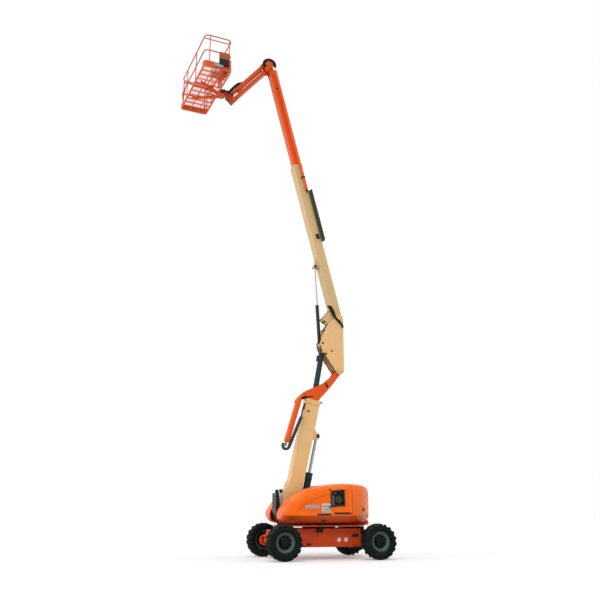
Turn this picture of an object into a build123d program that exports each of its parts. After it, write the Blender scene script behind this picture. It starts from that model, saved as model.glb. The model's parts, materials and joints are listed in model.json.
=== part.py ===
from build123d import *
import math
import os

os.makedirs("parts", exist_ok=True)

# Millimetres. +X forward, +Y to the machine's left, +Z up, origin on the ground under the slew axis.

# running gear
wheel_r = 430
wheel_w = 350
rim_r = 232
lug_h = 26
lug_count = 18
half_base = 1220
half_track = 1045
axle_z = 430
kingpin_y = 800

# chassis and turntable
belly_z = 300
tie_z = 375
tie_r = 20
frame_top = 738
deck_z = 790
deck_top = 815
tail_r = 1250
hood_in = 350
hood_wall = 22
seam_x = -500
hinges = ((-360, 1808), (60, 1780))  # x, top of the leaf
hinge_y = 330
hinge_z = 1775
recess_y = 1145
recess = (
    (880, 1165), (800, 1265), (620, 1385), (400, 1475), (150, 1555), (-80, 1615), (-360, 1665), (-430, 1620),
    (-440, 1130), (-380, 1085), (700, 1085), (840, 1110),
)
window = ((30, 1610), (-270, 1640), (-285, 1300), (40, 1285))

# tower, angles in degrees from +X
foot = (840, 1300)
tower_deg = 102.5
tower_h = 365
tower_w = 300
tower_mid = 72
tower_top = 2800

# upright
knee = (-570, 4840)
shoulder = (-560, 6310)
plate_in = 175
plate_out = 195

# main boom
boom_deg = 75.5
boom_h = 240
boom_w = 330
boom_len = 4760
fly_h = 180
fly_w = 240
fly_tip = (1520, 14120)

# jib and platform
jib_deg = -50.2
jib_len = 1620
link_gap = 265
jib_root = (1580, 13980)
turn_x = 2930
yaw = 7
floor_z = 12909
floor_w = 812
floor_l = 2498
floor_in = 90
rail_h = 1000
tube_r = 17
inset = 26

# cylinders: pin on the carrying body, then the far eye
tower_pin, tower_eye = (500, 940), (50, 3060)
level_pin, level_eye = (-120, 5360), (255, 3294)
lift_pin, lift_eye = (-60, 5540), (70, 7840)
jib_pin = (1580, 14245)
jib_lug = (1150, 150)


def save(shape, name):
    shape.label = name
    export_step(shape, "parts/" + name + ".step")


def polar(origin, deg, run, up=0):
    c, s = math.cos(math.radians(deg)), math.sin(math.radians(deg))
    return (origin[0] + run * c - up * s, origin[1] + run * s + up * c)


def local(origin, deg, point):
    """How far a side-view point lies along deg from origin, and a quarter turn on from it."""
    c, s = math.cos(math.radians(deg)), math.sin(math.radians(deg))
    x, z = point[0] - origin[0], point[1] - origin[1]
    return x * c + z * s, z * c - x * s


def side(origin=(0, 0), deg=0.0):
    """Side-view plane: local x along deg, local y a quarter turn on from it."""
    c, s = math.cos(math.radians(deg)), math.sin(math.radians(deg))
    return Plane(origin=(origin[0], 0, origin[1]), x_dir=(c, 0, s), z_dir=(0, -1, 0))


def across(origin, deg, run):
    """Section plane square to deg: local x along +Y, local y a quarter turn on from deg."""
    x, z = polar(origin, deg, run)
    c, s = math.cos(math.radians(deg)), math.sin(math.radians(deg))
    return Plane(origin=(x, 0, z), x_dir=(0, 1, 0), z_dir=(c, 0, s))


def plates(outline, y_in, y_out, plane=None, rounds=(), holes=()):
    """A pair of side plates between y_in and y_out; rounds and holes are (x, y, radius)."""
    plane = plane or side()
    with BuildPart() as pair:
        with BuildSketch(plane):
            if outline:
                with BuildLine():
                    Polyline(*outline, close=True)
                make_face()
            for x, y, r in rounds:
                with Locations((x, y)):
                    Circle(r)
            for x, y, r in holes:
                with Locations((x, y)):
                    Circle(r, mode=Mode.SUBTRACT)
        extrude(amount=y_out, both=True)
        if y_in:
            with BuildSketch(plane):
                Rectangle(40000, 40000)
            extrude(amount=y_in, both=True, mode=Mode.SUBTRACT)
    return pair.part


def tube(origin, deg, start, end, width, height, wall, mid=0):
    with BuildPart() as box:
        with BuildSketch(across(origin, deg, start)):
            with Locations((0, mid)):
                Rectangle(width, height)
                Rectangle(width - 2 * wall, height - 2 * wall, mode=Mode.SUBTRACT)
        extrude(amount=end - start)
    return box.part


def pin(at, r, half, offset=0):
    with BuildPart() as rod:
        with BuildSketch(side(at).offset(-offset)):
            Circle(r)
        extrude(amount=half, both=True)
    return rod.part


def block(x, y, z):
    """A block from its lowest and highest x, y and z."""
    with BuildPart() as brick:
        with Locations(((x[0] + x[1]) / 2, (y[0] + y[1]) / 2, (z[0] + z[1]) / 2)):
            Box(x[1] - x[0], y[1] - y[0], z[1] - z[0])
    return brick.part


def cylinder_pair(name, start, end, bore_r, rod_r, barrel, eye_r, half, pin_r, far_r=None):
    """Saves name_barrel and name_rod; barrel is the length from the start pin to the gland."""
    run = math.hypot(end[0] - start[0], end[1] - start[1])
    deg = math.degrees(math.atan2(end[1] - start[1], end[0] - start[0]))
    far_r = far_r or eye_r
    with BuildPart() as outer:
        with BuildSketch(across(start, deg, eye_r * 0.7)):
            Circle(bore_r)
        extrude(amount=barrel - eye_r * 0.7)
        with BuildSketch(across(start, deg, barrel - 70)):
            Circle(bore_r * 1.05)
        extrude(amount=70)
        with BuildSketch(across(start, deg, eye_r * 0.7 + 40)):
            Circle(rod_r + 6)
        extrude(amount=barrel, mode=Mode.SUBTRACT)
        add(pin(start, eye_r, half))
        add(pin(start, pin_r + 1, half + 5), mode=Mode.SUBTRACT)
    with BuildPart() as inner:
        with BuildSketch(across(start, deg, barrel - 60)):
            Circle(rod_r)
        extrude(amount=run - barrel + 60 - far_r * 0.6)
        add(pin(end, far_r, half))
        add(pin(end, pin_r + 1, half + 5), mode=Mode.SUBTRACT)
    save(outer.part, name + "_barrel")
    save(inner.part, name + "_rod")


# ---- wheels: name, x, y
corners = [
    ("front_left", half_base, half_track),
    ("front_right", half_base, -half_track),
    ("rear_left", -half_base, half_track),
    ("rear_right", -half_base, -half_track),
]

for name, x, y in corners:
    out = 1 if y > 0 else -1
    radial = Plane(origin=(x, y, axle_z), x_dir=(0, out, 0), z_dir=(out, 0, 0))
    hub_plane = Plane(origin=(x, y, axle_z), x_dir=(1, 0, 0), z_dir=(0, 1, 0))
    half = wheel_w / 2
    with BuildPart() as tyre:
        with BuildSketch(radial):
            with BuildLine():
                Polyline(
                    (-half * 0.76, rim_r), (-half, rim_r + 70), (-half * 0.96, 355),
                    (-half * 0.72, wheel_r - lug_h), (half * 0.72, wheel_r - lug_h),
                    (half * 0.96, 355), (half, rim_r + 70), (half * 0.76, rim_r), close=True,
                )
            make_face()
        revolve(axis=Axis((x, y, axle_z), (0, 1, 0)))
        for hand in (-1, 1):
            with BuildSketch(hub_plane.offset(hand * half * 0.5)):
                with PolarLocations(wheel_r - lug_h / 2 - 5, lug_count, start_angle=5 * hand):
                    Rectangle(lug_h + 10, 84)
            extrude(amount=half * 0.46, both=True)
        with BuildSketch(hub_plane):
            Circle(wheel_r + 60)
            Circle(wheel_r, mode=Mode.SUBTRACT)
        extrude(amount=wheel_w, both=True, mode=Mode.SUBTRACT)
    save(tyre.part, "tyre_" + name)
    with BuildPart() as rim:
        with BuildSketch(radial):
            with BuildLine():
                Polyline(
                    (-half * 0.76, rim_r - 1), (-half * 0.76, rim_r - 22), (20, rim_r - 30), (30, 110),
                    (80, 90), (80, 0), (30, 0), (30, 80), (-10, 100), (-5, rim_r - 14),
                    (half * 0.76, rim_r - 12), (half * 0.76, rim_r - 1), close=True,
                )
            make_face()
        revolve(axis=Axis((x, y, axle_z), (0, 1, 0)))
    save(rim.part, "rim_" + name)

# ---- chassis
with BuildPart() as chassis:
    add(block((-880, 760), (-680, 680), (belly_z, frame_top)))
    add(block((-864, 744), (-664, 664), (belly_z + 12, frame_top - 20)), mode=Mode.SUBTRACT)
    for end in (-1, 1):
        add(block(sorted((end * 750, end * 1330)), (-250, 250), (560, 700)))
        add(block(sorted((end * 1330, end * 1390)), (-60, 60), (560, 640)))
    for y in (-680, 680):
        with Locations((-740, y, 567)):
            Box(180, 16, 70, mode=Mode.SUBTRACT)
    for x in (-700, 620):
        for y in (-720, 720):
            add(block((x - 50, x + 50), (y - 45, y + 45), (tie_z - 15, tie_z + 15)))
            with Locations((x, y, tie_z)):
                Cylinder(tie_r, 60, mode=Mode.SUBTRACT)
save(chassis.part, "chassis_frame")

with BuildPart() as bearing:
    with Locations((0, 0, (frame_top + deck_z) / 2)):
        Cylinder(430, deck_z - frame_top - 6)
    with Locations((0, 0, frame_top + 3)):
        Cylinder(400, 6)
save(bearing.part, "swing_bearing")

# ---- axles and steering
with BuildPart() as front_axle:
    add(block((half_base - 70, half_base + 70), (-660, 660), (axle_z - 60, axle_z + 60)))
    with Locations((half_base, 0, axle_z)):
        Sphere(124)
    add(block((half_base - 70, half_base + 70), (-160, 160), (axle_z + 50, 560)))
    for hand in (-1, 1):
        stub = sorted((hand * 650, hand * kingpin_y))
        add(block((half_base - 45, half_base + 45), stub, (axle_z - 60, axle_z + 60)))
        with Locations((half_base, hand * kingpin_y, axle_z)):
            Cylinder(45, 120)
save(front_axle.part, "front_axle")

with BuildPart() as rear_axle:
    add(block((-half_base - 70, -half_base + 70), (-160, 160), (axle_z + 50, 560)))
    with Locations((-half_base, 0, axle_z)):
        Sphere(124)
    # radius, length and middle y of each step of the axle tube
    for r, length, y in ((85, 1500, 0), (72, 2140, 0), (140, 200, -750), (140, 200, 750)):
        with Locations(Location((-half_base, y, axle_z), (90, 0, 0))):
            Cylinder(r, length)
save(rear_axle.part, "rear_axle")

for name, hand in (("knuckle_left", 1), ("knuckle_right", -1)):
    with BuildPart() as knuckle:
        with Locations(Location((half_base, hand * 880, axle_z), (90, 0, 0))):
            Cylinder(140, 50)
        with Locations(Location((half_base, hand * 980, axle_z), (90, 0, 0))):
            Cylinder(72, 180)
        for z in (axle_z - 88, axle_z + 88):
            add(block((half_base - 60, half_base + 110), sorted((hand * 735, hand * 870)), (z - 20, z + 20)))
        web = sorted((hand * 772, hand * 870))
        add(block((half_base + 85, half_base + 110), web, (axle_z - 108, axle_z + 108)))
        for z in (axle_z - 45, axle_z + 45):
            with Locations(Location((half_base + 100, hand * 815, z), (0, 90, 0))):
                Cylinder(20, 60, mode=Mode.SUBTRACT)
        arm = sorted((hand * 735, hand * 775))
        add(block((half_base - 260, half_base - 50), arm, (axle_z - 108, axle_z - 70)))
    save(knuckle.part, name)

with BuildPart() as track_rod:
    with Locations(Location((half_base - 225, 0, axle_z - 46), (90, 0, 0))):
        Cylinder(17, 1510)
        Cylinder(34, 520)
save(track_rod.part, "track_rod")


# ---- turntable
def hood_form(margin, x_low, x_high, low_z):
    """The left body of the turntable shrunk by margin: side outline, plan and section in common."""
    with BuildPart() as form:
        with BuildSketch(Plane.XZ):
            with BuildLine():
                Polyline(
                    (1000, low_z), (1225, 985), (1225, 1130), (1010, 1430), (620, 1660), (130, 1785),
                    (-340, 1825), (-900, 1815), (-1260, 1760), (-1260, 1000), (-1060, low_z), close=True,
                )
            make_face()
            fillet(vertices().sort_by(Axis.X)[-2:], 90)
            if margin:
                offset(amount=-margin)
        extrude(amount=-1300)
        with BuildSketch(Plane.XY):
            with BuildLine():
                Polyline(
                    (-1100, 1160), (900, 1160), (1240, 900), (1240, hood_in), (-1300, hood_in), (-1300, 1160), close=True,
                )
            make_face()
            fillet(vertices().group_by(Axis.X)[-2].sort_by(Axis.Y)[-1:], 260)
            if margin:
                offset(amount=-margin)
                Rectangle(2600, 2 * hood_in + 60)
            if x_high < 0:
                Circle(tail_r - margin, mode=Mode.INTERSECT)
        extrude(amount=2000, mode=Mode.INTERSECT)
        with BuildSketch(Plane.YZ):
            with BuildLine():
                Polyline(
                    (hood_in - margin * 3, 700), (780, 700), (850, 830), (1150, 1050), (1165, 1500), (1080, 1830),
                    (hood_in - margin * 3, 1840), close=True,
                )
            make_face()
            if margin:
                offset(amount=-margin)
        extrude(amount=1400, both=True, mode=Mode.INTERSECT)
        add(block((x_low, x_high), (0, 1400), (600, 2000)), mode=Mode.INTERSECT)
    return form.part


with BuildPart() as hood:
    add(hood_form(0, seam_x, 1300, 842))
    add(hood_form(hood_wall, seam_x + hood_wall, 1300, 842), mode=Mode.SUBTRACT)
    add(block((seam_x + hood_wall, 1000), (hood_in - 10, hood_in + 60), (700, 1560)), mode=Mode.SUBTRACT)
    add(block((seam_x + hood_wall, 900), (hood_in - 10, 830), (700, 870)), mode=Mode.SUBTRACT)
    with BuildSketch(Plane.XZ.offset(-recess_y)):
        with BuildLine():
            Polyline(*recess, close=True)
        make_face()
    extrude(amount=-100, mode=Mode.SUBTRACT)
    for x, top in hinges:
        add(block((x - 40, x + 40), (hinge_y, hood_in + 15), (hinge_z - 14, top)))
        with Locations(Location((x, hinge_y, hinge_z), (0, 90, 0))):
            Cylinder(14, 80)
            Cylinder(9, 90, mode=Mode.SUBTRACT)
with BuildPart() as hood_left:
    add(hood.part)
    with BuildSketch(Plane.XZ.offset(-1100)):
        with BuildLine():
            Polyline(*window, close=True)
        make_face()
    extrude(amount=120, both=True, mode=Mode.SUBTRACT)
save(hood_left.part, "hood_left")
save(mirror(hood.part, about=Plane.XZ), "hood_right")

with BuildPart() as weight:
    add(hood_form(0, -1300, seam_x - 6, deck_top))
    mirror(about=Plane.XZ)
    add(block((-1235, -1150), (-hood_in - 20, hood_in + 20), (deck_top, 930)))
save(weight.part, "counterweight")

with BuildPart() as turntable:
    with BuildSketch(Plane.XY.offset(deck_z)):
        Circle(1180)
        Rectangle(2400, 1900, mode=Mode.INTERSECT)
    extrude(amount=deck_top - deck_z)
    for y in (-310, 310):
        add(block((-1100, 940), (y - 12, y + 12), (deck_top - 5, 1060)))
    add(plates([(500, 800), (1040, 800), (940, 1330), (740, 1330)], 175, 200, rounds=[(*foot, 110)]))
    add(pin(foot, 40, 215))
    add(plates([(400, 800), (600, 800), (560, 960), (440, 960)], 105, 125, rounds=[(*tower_pin, 62)]))
    add(pin(tower_pin, 38, 120))
    for x, top in hinges:
        for hand in (-1, 1):
            add(block((x - 60, x - 48), sorted((hand * 300, hand * 344)), (1000, hinge_z + 14)))
            with Locations(Location((x, hand * hinge_y, hinge_z), (0, 90, 0))):
                Cylinder(8, 110)
save(turntable.part, "turntable_frame")

save(block((-440, 520), (-820, -380), (deck_top, 1520)), "engine_block")
with BuildPart() as panel:
    add(block((-300, 60), (880, 1060), (1180, 1680)))
    with Locations(Location((-150, 1065, 1430), (90, 0, 0))):
        Cylinder(85, 40)
    add(block((-300, 60), (600, 890), (900, 1220)))
    add(block((-260, 20), (620, 800), (deck_top, 900)))
save(panel.part, "ground_panel")

with BuildPart() as guard:
    with BuildSketch(Plane.XZ):
        with BuildLine():
            Polyline(
                (1110, 1600), (1200, 1600), (1200, 1160), (1060, deck_top), (1040, deck_top), (1100, 1100), close=True,
            )
        make_face()
    extrude(amount=185, both=True)
    with BuildSketch(Plane.XZ):
        with BuildLine():
            Polyline((1000, 1700), (1188, 1700), (1188, 1164), (1046, deck_top - 1), (1000, deck_top - 1), close=True)
        make_face()
    extrude(amount=173, both=True, mode=Mode.SUBTRACT)
save(guard.part, "front_guard")

# ---- tower
cylinder_pair("tower_lift", tower_pin, tower_eye, 90, 40, 1200, 72, 90, 38)

def slot_cut(start, end, h):
    """The notch in the tower's front wall that the level cylinder swings through."""
    with BuildPart() as cut:
        with BuildSketch(across(foot, tower_deg, start)):
            with Locations((0, h)):
                Rectangle(176, 190)
        extrude(amount=end - start)
    return cut.part


with BuildPart() as tower_base:
    add(tube(foot, tower_deg, 130, tower_top, tower_w, tower_h, 10, tower_mid))
    foot_side = side(foot, tower_deg)
    outline = [(-210, -117), (295, -239), (436, -158), (620, -112), (620, 255), (140, 255), (-100, 150)]
    add(plates(outline, 150, 165, foot_side, holes=[(0, 0, 41)]))
    add(plates([(-210, -117), (295, -239), (305, -225), (-198, -102)], 0, 165, foot_side))
    add(plates([(295, -239), (436, -158), (430, -142), (292, -222)], 0, 165, foot_side))
    eye_s, eye_h = local(foot, tower_deg, tower_eye)
    lug = [(eye_s - 60, eye_h), (eye_s + 60, eye_h), (eye_s + 170, 250), (eye_s - 150, 250)]
    add(plates(lug, 95, 115, foot_side, rounds=[(eye_s, eye_h, 60)]))
    add(slot_cut(2500, 2860, -140), mode=Mode.SUBTRACT)
save(tower_base.part, "tower_base")

with BuildPart() as tower_fly:
    add(tube(foot, tower_deg, 260, tower_top + 60, 240, 300, 8, tower_mid))
    add(slot_cut(2400, 2900, -140), mode=Mode.SUBTRACT)
    nose = [
        (60, 3900), (20, 4010), (-40, 4080), (-230, 4280), (-390, 4470), (-640, 4790), (-520, 4905),
        (-380, 4690), (-180, 4520), (120, 4370), (370, 4260), (480, 4170), (600, 4050), (650, 3960),
        (560, 3950), (440, 4085), (300, 4085), (330, 3900),
    ]
    add(plates(nose, 100, 119, rounds=[(*knee, 80)], holes=[(*knee, 41)]))
    add(plates([(-40, 4080), (-230, 4280), (-390, 4470), (-378, 4480), (-218, 4290), (-28, 4090)], 0, 119))
    # the top strip is open in the middle for the main lift cylinder when everything is lowered
    lip = [(370, 4260), (480, 4170), (600, 4050), (650, 3960), (632, 3960), (585, 4044), (468, 4162), (362, 4248)]
    add(plates(lip, 70, 119))
    add(block((555, 640), (100, 262), (3960, 4040)))
    with Locations((600, 200, 3990)):
        Sphere(78)
    with BuildSketch(Plane(origin=(600, 200, 3990), z_dir=(0.289, 0, -0.957))):
        Circle(76)
        Circle(66, mode=Mode.SUBTRACT)
    extrude(amount=1150)
save(tower_fly.part, "tower_fly")


def carrier(name, origin, deg, start, end, back, h, gap, count, width, y, band=31):
    """A hose carrier: a run of links from start to end at height h, and one back from its low end, gap lower."""
    plane = side(origin, deg).offset(-y)
    pitch = (end - start) / count
    with BuildPart() as chain:
        with BuildSketch(plane):
            with Locations((start, h - gap / 2)):
                Circle(abs(gap) / 2 + band)
                Circle(abs(gap) / 2 - band, mode=Mode.SUBTRACT)
            with Locations((start, h - gap / 2)):
                Rectangle(2 * abs(gap), 2 * abs(gap), align=(Align.MIN, Align.CENTER), mode=Mode.SUBTRACT)
            with Locations((start - 1, h)):
                Rectangle(end - start + 1, 2 * band, align=(Align.MIN, Align.CENTER))
            with Locations((start - 1, h - gap)):
                Rectangle(back + 1, 2 * band, align=(Align.MIN, Align.CENTER))
        extrude(amount=width / 2, both=True)
        with BuildSketch(plane):
            with Locations(*[(start + pitch * (k + 0.5), h) for k in range(count)]):
                Rectangle(pitch * 0.82, 2 * band + 10)
        extrude(amount=width / 2 + 4, both=True)
    save(chain.part, name)


carrier("tower_carrier", (870, 2750), 113, 0, 869, 40, 0, 170, 14, 90, 200)

cylinder_pair("level", level_pin, level_eye, 74, 34, 1050, 70, 74, 30, 46)

# ---- upright
with BuildPart() as upright:
    skin = [
        (-670, 4790), (-480, 4790), (-90, 5370), (-30, 5530), (-20, 5620), (-180, 6000), (-240, 6120),
        (-430, 6330), (-690, 6330), (-690, 4790),
    ]
    add(plates(skin, plate_in, plate_out, rounds=[(*shoulder, 135), (*knee, 95)]))
    add(block((-690, -670), (-plate_in - 5, plate_in + 5), (5080, 6060)))
    add(plates([(-480, 4800), (-90, 5380), (-104, 5392), (-494, 4812)], 128, plate_in + 5))
    add(plates([(-130, 5700), (-190, 5900), (-205, 5896), (-146, 5694)], 0, plate_in + 5))
    add(plates([(-60, 5480), (-230, 5500), (-230, 5620), (-60, 5600)], 60, 80, rounds=[(*lift_pin, 60)]))
    add(pin((-205, 5560), 42, plate_in + 5))
    add(pin(lift_pin, 34, 78))
    add(pin(level_pin, 30, plate_in + 5))
    add(pin(knee, 40, plate_out + 15))
    add(pin(shoulder, 40, plate_out + 15))
save(upright.part, "upright")

cylinder_pair("main_lift", lift_pin, lift_eye, 48, 24, 1170, 56, 56, 34)

# ---- main boom
root = side(shoulder, boom_deg)
with BuildPart() as main_base:
    add(tube(shoulder, boom_deg, 150, boom_len, boom_w, boom_h, 8))
    add(plates([(-60, -118), (420, -118), (420, 118), (-60, 118)], 150, 165, root, rounds=[(0, 0, 120)], holes=[(0, 0, 41)]))
    add(plates([(350, -115), (100, -450), (-65, -310), (-100, -60), (60, -60)], 140, 160, root))
    add(plates([(100, -450), (-65, -310), (-35, -275), (130, -415)], 0, 160, root))
    eye_s, eye_h = local(shoulder, boom_deg, lift_eye)
    lug = [(eye_s - 50, eye_h), (eye_s + 50, eye_h), (eye_s + 240, -112), (eye_s - 60, -112)]
    add(plates(lug, 62, 80, root, rounds=[(eye_s, eye_h, 55)]))
save(main_base.part, "main_boom_base")

tip_s, tip_h = local(shoulder, boom_deg, fly_tip)
with BuildPart() as main_fly:
    add(tube(shoulder, boom_deg, 3450, tip_s - 230, fly_w, fly_h, 7))
    cheek = [(tip_s - 420, -88), (tip_s, tip_h - 60), (tip_s, tip_h + 91), (tip_s - 420, 88)]
    add(plates(cheek, 107, 120, root, rounds=[(tip_s, tip_h, 92)]))
    add(pin(fly_tip, 40, 160))
    with BuildSketch(across(shoulder, boom_deg, 3920)):
        with Locations((209, 56)):
            Circle(38)
            Circle(30, mode=Mode.SUBTRACT)
    extrude(amount=tip_s - 235 - 3920)
    with BuildSketch(across(shoulder, boom_deg, tip_s - 290)):
        with Locations((148, 56)):
            Rectangle(66, 40)
    extrude(amount=50)
save(main_fly.part, "main_fly")

carrier("main_carrier", shoulder, boom_deg, 2350, 3900, 1000, 184, 58, 24, 60, 212, 22)

# ---- jib
tail = polar(jib_root, jib_deg, jib_len)
jib_top = (jib_root[0], jib_root[1] + link_gap)
tail_top = (tail[0], tail[1] + link_gap)
with BuildPart() as bracket:
    pins = [(*jib_root, 75), (*jib_top, 70), (*fly_tip, 118)]
    web = [(1520, 14000), (1660, 13980), (1655, 14245), (1560, 14320), (1400, 14170), (1405, 14080)]
    add(plates(web, 125, 145, rounds=pins, holes=[(*fly_tip, 41)]))
    for at, inner in ((jib_root, 64), (jib_top, 81)):
        add(pin(at, 34, 150))
        add(plates([], inner, 126, rounds=[(*at, 38)]))
save(bracket.part, "level_bracket")

beam = side(jib_root, jib_deg)
with BuildPart() as jib_beam:
    add(tube(jib_root, jib_deg, 60, jib_len - 230, 116, 110, 8))
    add(plates([(0, -50), (130, -55), (130, 55), (0, 50)], 0, 58, beam, rounds=[(0, 0, 55)], holes=[(0, 0, 35)]))
    fork = [(jib_len - 320, -55), (jib_len + 78, -64), (jib_len + 60, 40), (jib_len, 55), (jib_len - 320, 55)]
    add(plates(fork, 45, 58, beam, holes=[(jib_len, 0, 35)]))
    add(plates([(1060, 40), (1240, 40), (1190, 150), (1110, 150)], 40, 54, beam, rounds=[(*jib_lug, 40)]))
save(jib_beam.part, "jib_beam")

link = side(jib_top, jib_deg)
with BuildPart() as jib_link:
    ends = [(0, 0, 50), (jib_len, 0, 50)]
    bar = [(0, -42), (jib_len, -42), (jib_len, 42), (0, 42)]
    add(plates(bar, 62, 76, link, rounds=ends, holes=[(0, 0, 35), (jib_len, 0, 35)]))
    for s in (140, 1430):
        add(plates([(s, 30), (s + 75, 30), (s + 75, 66), (s, 66)], 62, 76, link))
        add(plates([(s, 52), (s + 75, 52), (s + 75, 66), (s, 66)], 0, 76, link))
save(jib_link.part, "jib_link")

cylinder_pair("jib_lift", jib_pin, polar(jib_root, jib_deg, *jib_lug), 34, 18, 760, 46, 36, 34, 42)

with BuildPart() as end_bracket:
    web = [
        (tail[0] - 40, tail[1] - 40), (tail[0] + 40, tail[1] - 55), (turn_x - 125, 12800),
        (turn_x - 118, floor_z + 6), (turn_x - 40, floor_z + 6), (turn_x - 40, tail_top[1] + 20),
        (tail_top[0] - 30, tail_top[1] + 45), (tail_top[0] - 50, tail_top[1]),
    ]
    add(plates(web, 22, 39, rounds=[(*tail, 58), (*tail_top, 52)]))
    add(pin(tail, 34, 66))
    add(pin(tail_top, 34, 80))
    add(plates([], 0, 30, rounds=[(*tail, 46), (*tail_top, 46)]))
    with BuildSketch(Plane.XY.offset(floor_z + 6)):
        with Locations((turn_x, 0)):
            Circle(78)
    extrude(amount=130)
save(end_bracket.part, "platform_bracket")

# ---- platform, in its own frame: x outward from the turn axis, y along the deck
outward = (math.cos(math.radians(yaw)), math.sin(math.radians(yaw)), 0)
deck = Plane(origin=(turn_x, 0, floor_z), x_dir=outward, z_dir=(0, 0, 1))
mid_x = floor_in + floor_w / 2
with BuildPart() as floor:
    with BuildSketch(deck):
        with Locations((mid_x, 0)):
            RectangleRounded(floor_w, floor_l, 90)
            RectangleRounded(floor_w - 60, floor_l - 60, 70, mode=Mode.SUBTRACT)
    extrude(amount=45)
    with BuildSketch(deck):
        with Locations((mid_x, 0)):
            RectangleRounded(floor_w - 10, floor_l - 10, 85)
            with GridLocations(248, 218, 3, 11):
                Rectangle(230, 198, mode=Mode.SUBTRACT)
    extrude(amount=26)
    with BuildSketch(deck.offset(-62)):
        Circle(105)
        for hand in (-1, 1):
            with BuildLine():
                Polyline((0, hand * 70), (60, hand * 20), (760, hand * 430), (760, hand * 500), close=True)
            make_face()
    extrude(amount=62)
save(floor.part, "platform_floor")

with BuildPart() as rails:
    rail_x, rail_y = floor_w / 2 - inset, floor_l / 2 - inset
    top = [(mid_x + i * rail_x, j * rail_y) for i, j in ((1, -1), (1, 1), (-1, 1), (-1, -1))]
    # the middle rail stops short of the gate, the top rail runs over it
    middle = [(x, max(y, 60 - floor_l / 2)) for x, y in top]
    for height, points, closed in ((rail_h, top, True), (rail_h * 0.52, middle, False)):
        with BuildLine(deck.offset(height)) as path:
            FilletPolyline(*points, radius=120, close=closed)
        with BuildSketch(Plane(origin=path.line @ 0, z_dir=path.line % 0)):
            Circle(tube_r)
        sweep(path=path.line)
    posts = [(hand, y) for hand in (-1, 1) for y in (-0.5, 0.26)] + [(-1, -0.95), (0.64, 1), (-0.84, 1)]
    for across_x, along_y in posts:
        with BuildSketch(deck.offset(45)):
            with Locations((mid_x + across_x * (floor_w / 2 - inset), along_y * (floor_l / 2 - inset))):
                Circle(tube_r - 3)
        extrude(amount=rail_h - 45)
    for end in (-1, 1):
        with BuildSketch(deck.offset(46)):
            with Locations((mid_x, 0)):
                RectangleRounded(floor_w, floor_l, 90)
                RectangleRounded(floor_w - 8, floor_l - 8, 86, mode=Mode.SUBTRACT)
            with Locations((mid_x, -end * 160)):
                Rectangle(floor_w + 10, floor_l, mode=Mode.SUBTRACT)
        extrude(amount=124)
save(rails.part, "platform_rails")

gate_top = rail_h - 75
with BuildPart() as gate:
    for height in (gate_top, rail_h * 0.52, 140):
        with BuildSketch(deck.offset(height)):
            with Locations((mid_x, -floor_l / 2 + inset)):
                Rectangle(floor_w - 140, 2 * tube_r)
        extrude(amount=2 * tube_r)
    for hand in (-1, 1):
        with BuildSketch(deck.offset(140)):
            with Locations((mid_x + hand * (floor_w / 2 - 70), -floor_l / 2 + inset)):
                Circle(tube_r)
        extrude(amount=gate_top - 140 + 2 * tube_r)
save(gate.part, "platform_gate")

with BuildPart() as console:
    with BuildSketch(deck.offset(rail_h - 330)):
        with Locations((floor_in + 168, 60)):
            Rectangle(220, 560)
    extrude(amount=250)
    with BuildSketch(deck.offset(rail_h - 80)):
        with Locations((floor_in + 168, 60)):
            Rectangle(236, 600)
    extrude(amount=90)
    with BuildSketch(deck.offset(27)):
        with Locations((floor_in + 66, 90)):
            Rectangle(8, 420)
        for y in (-120, 300):
            with Locations((floor_in + 92, y)):
                Rectangle(60, 8)
    extrude(amount=rail_h - 350)
save(console.part, "platform_console")
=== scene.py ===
import json
import math
import bpy
import bmesh
from mathutils.bvhtree import BVHTree
from mathutils import Matrix, Vector


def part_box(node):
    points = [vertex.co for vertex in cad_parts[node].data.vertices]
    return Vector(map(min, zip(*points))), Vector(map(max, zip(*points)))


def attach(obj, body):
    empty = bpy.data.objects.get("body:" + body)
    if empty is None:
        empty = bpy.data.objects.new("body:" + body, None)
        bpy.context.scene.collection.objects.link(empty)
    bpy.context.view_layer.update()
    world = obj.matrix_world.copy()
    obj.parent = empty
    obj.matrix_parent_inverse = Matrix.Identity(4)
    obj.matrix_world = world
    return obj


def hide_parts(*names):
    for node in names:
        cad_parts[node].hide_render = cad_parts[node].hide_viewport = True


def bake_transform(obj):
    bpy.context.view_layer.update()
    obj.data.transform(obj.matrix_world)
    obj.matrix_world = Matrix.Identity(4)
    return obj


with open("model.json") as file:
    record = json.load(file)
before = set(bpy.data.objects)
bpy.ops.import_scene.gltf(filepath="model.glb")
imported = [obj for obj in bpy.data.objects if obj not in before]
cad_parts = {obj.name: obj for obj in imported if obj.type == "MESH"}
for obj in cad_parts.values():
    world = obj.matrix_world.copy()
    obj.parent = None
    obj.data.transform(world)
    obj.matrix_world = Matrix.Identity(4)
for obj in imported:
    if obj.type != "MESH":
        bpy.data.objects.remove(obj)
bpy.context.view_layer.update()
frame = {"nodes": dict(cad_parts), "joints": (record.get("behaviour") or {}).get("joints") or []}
nodes = frame["nodes"]
joints = {joint["name"]: joint for joint in frame["joints"]}
scene = bpy.context.scene
both = (-1, 1)
hands = {"left": 1, "right": -1}


def pivot(name):
    return Vector(joints[name]["pos_m"])


def lineOf(name):
    return Vector(joints[name]["axis"]).normalized()


# A beam's own frame: x runs along it, y is the machine's left, z is a quarter turn on from x.
def beamPlace(origin, along):
    x = Vector(along).normalized()
    y = Vector((0, 1, 0))
    place = Matrix((x, y, x.cross(y))).transposed().to_4x4()
    place.translation = origin
    return place


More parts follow.
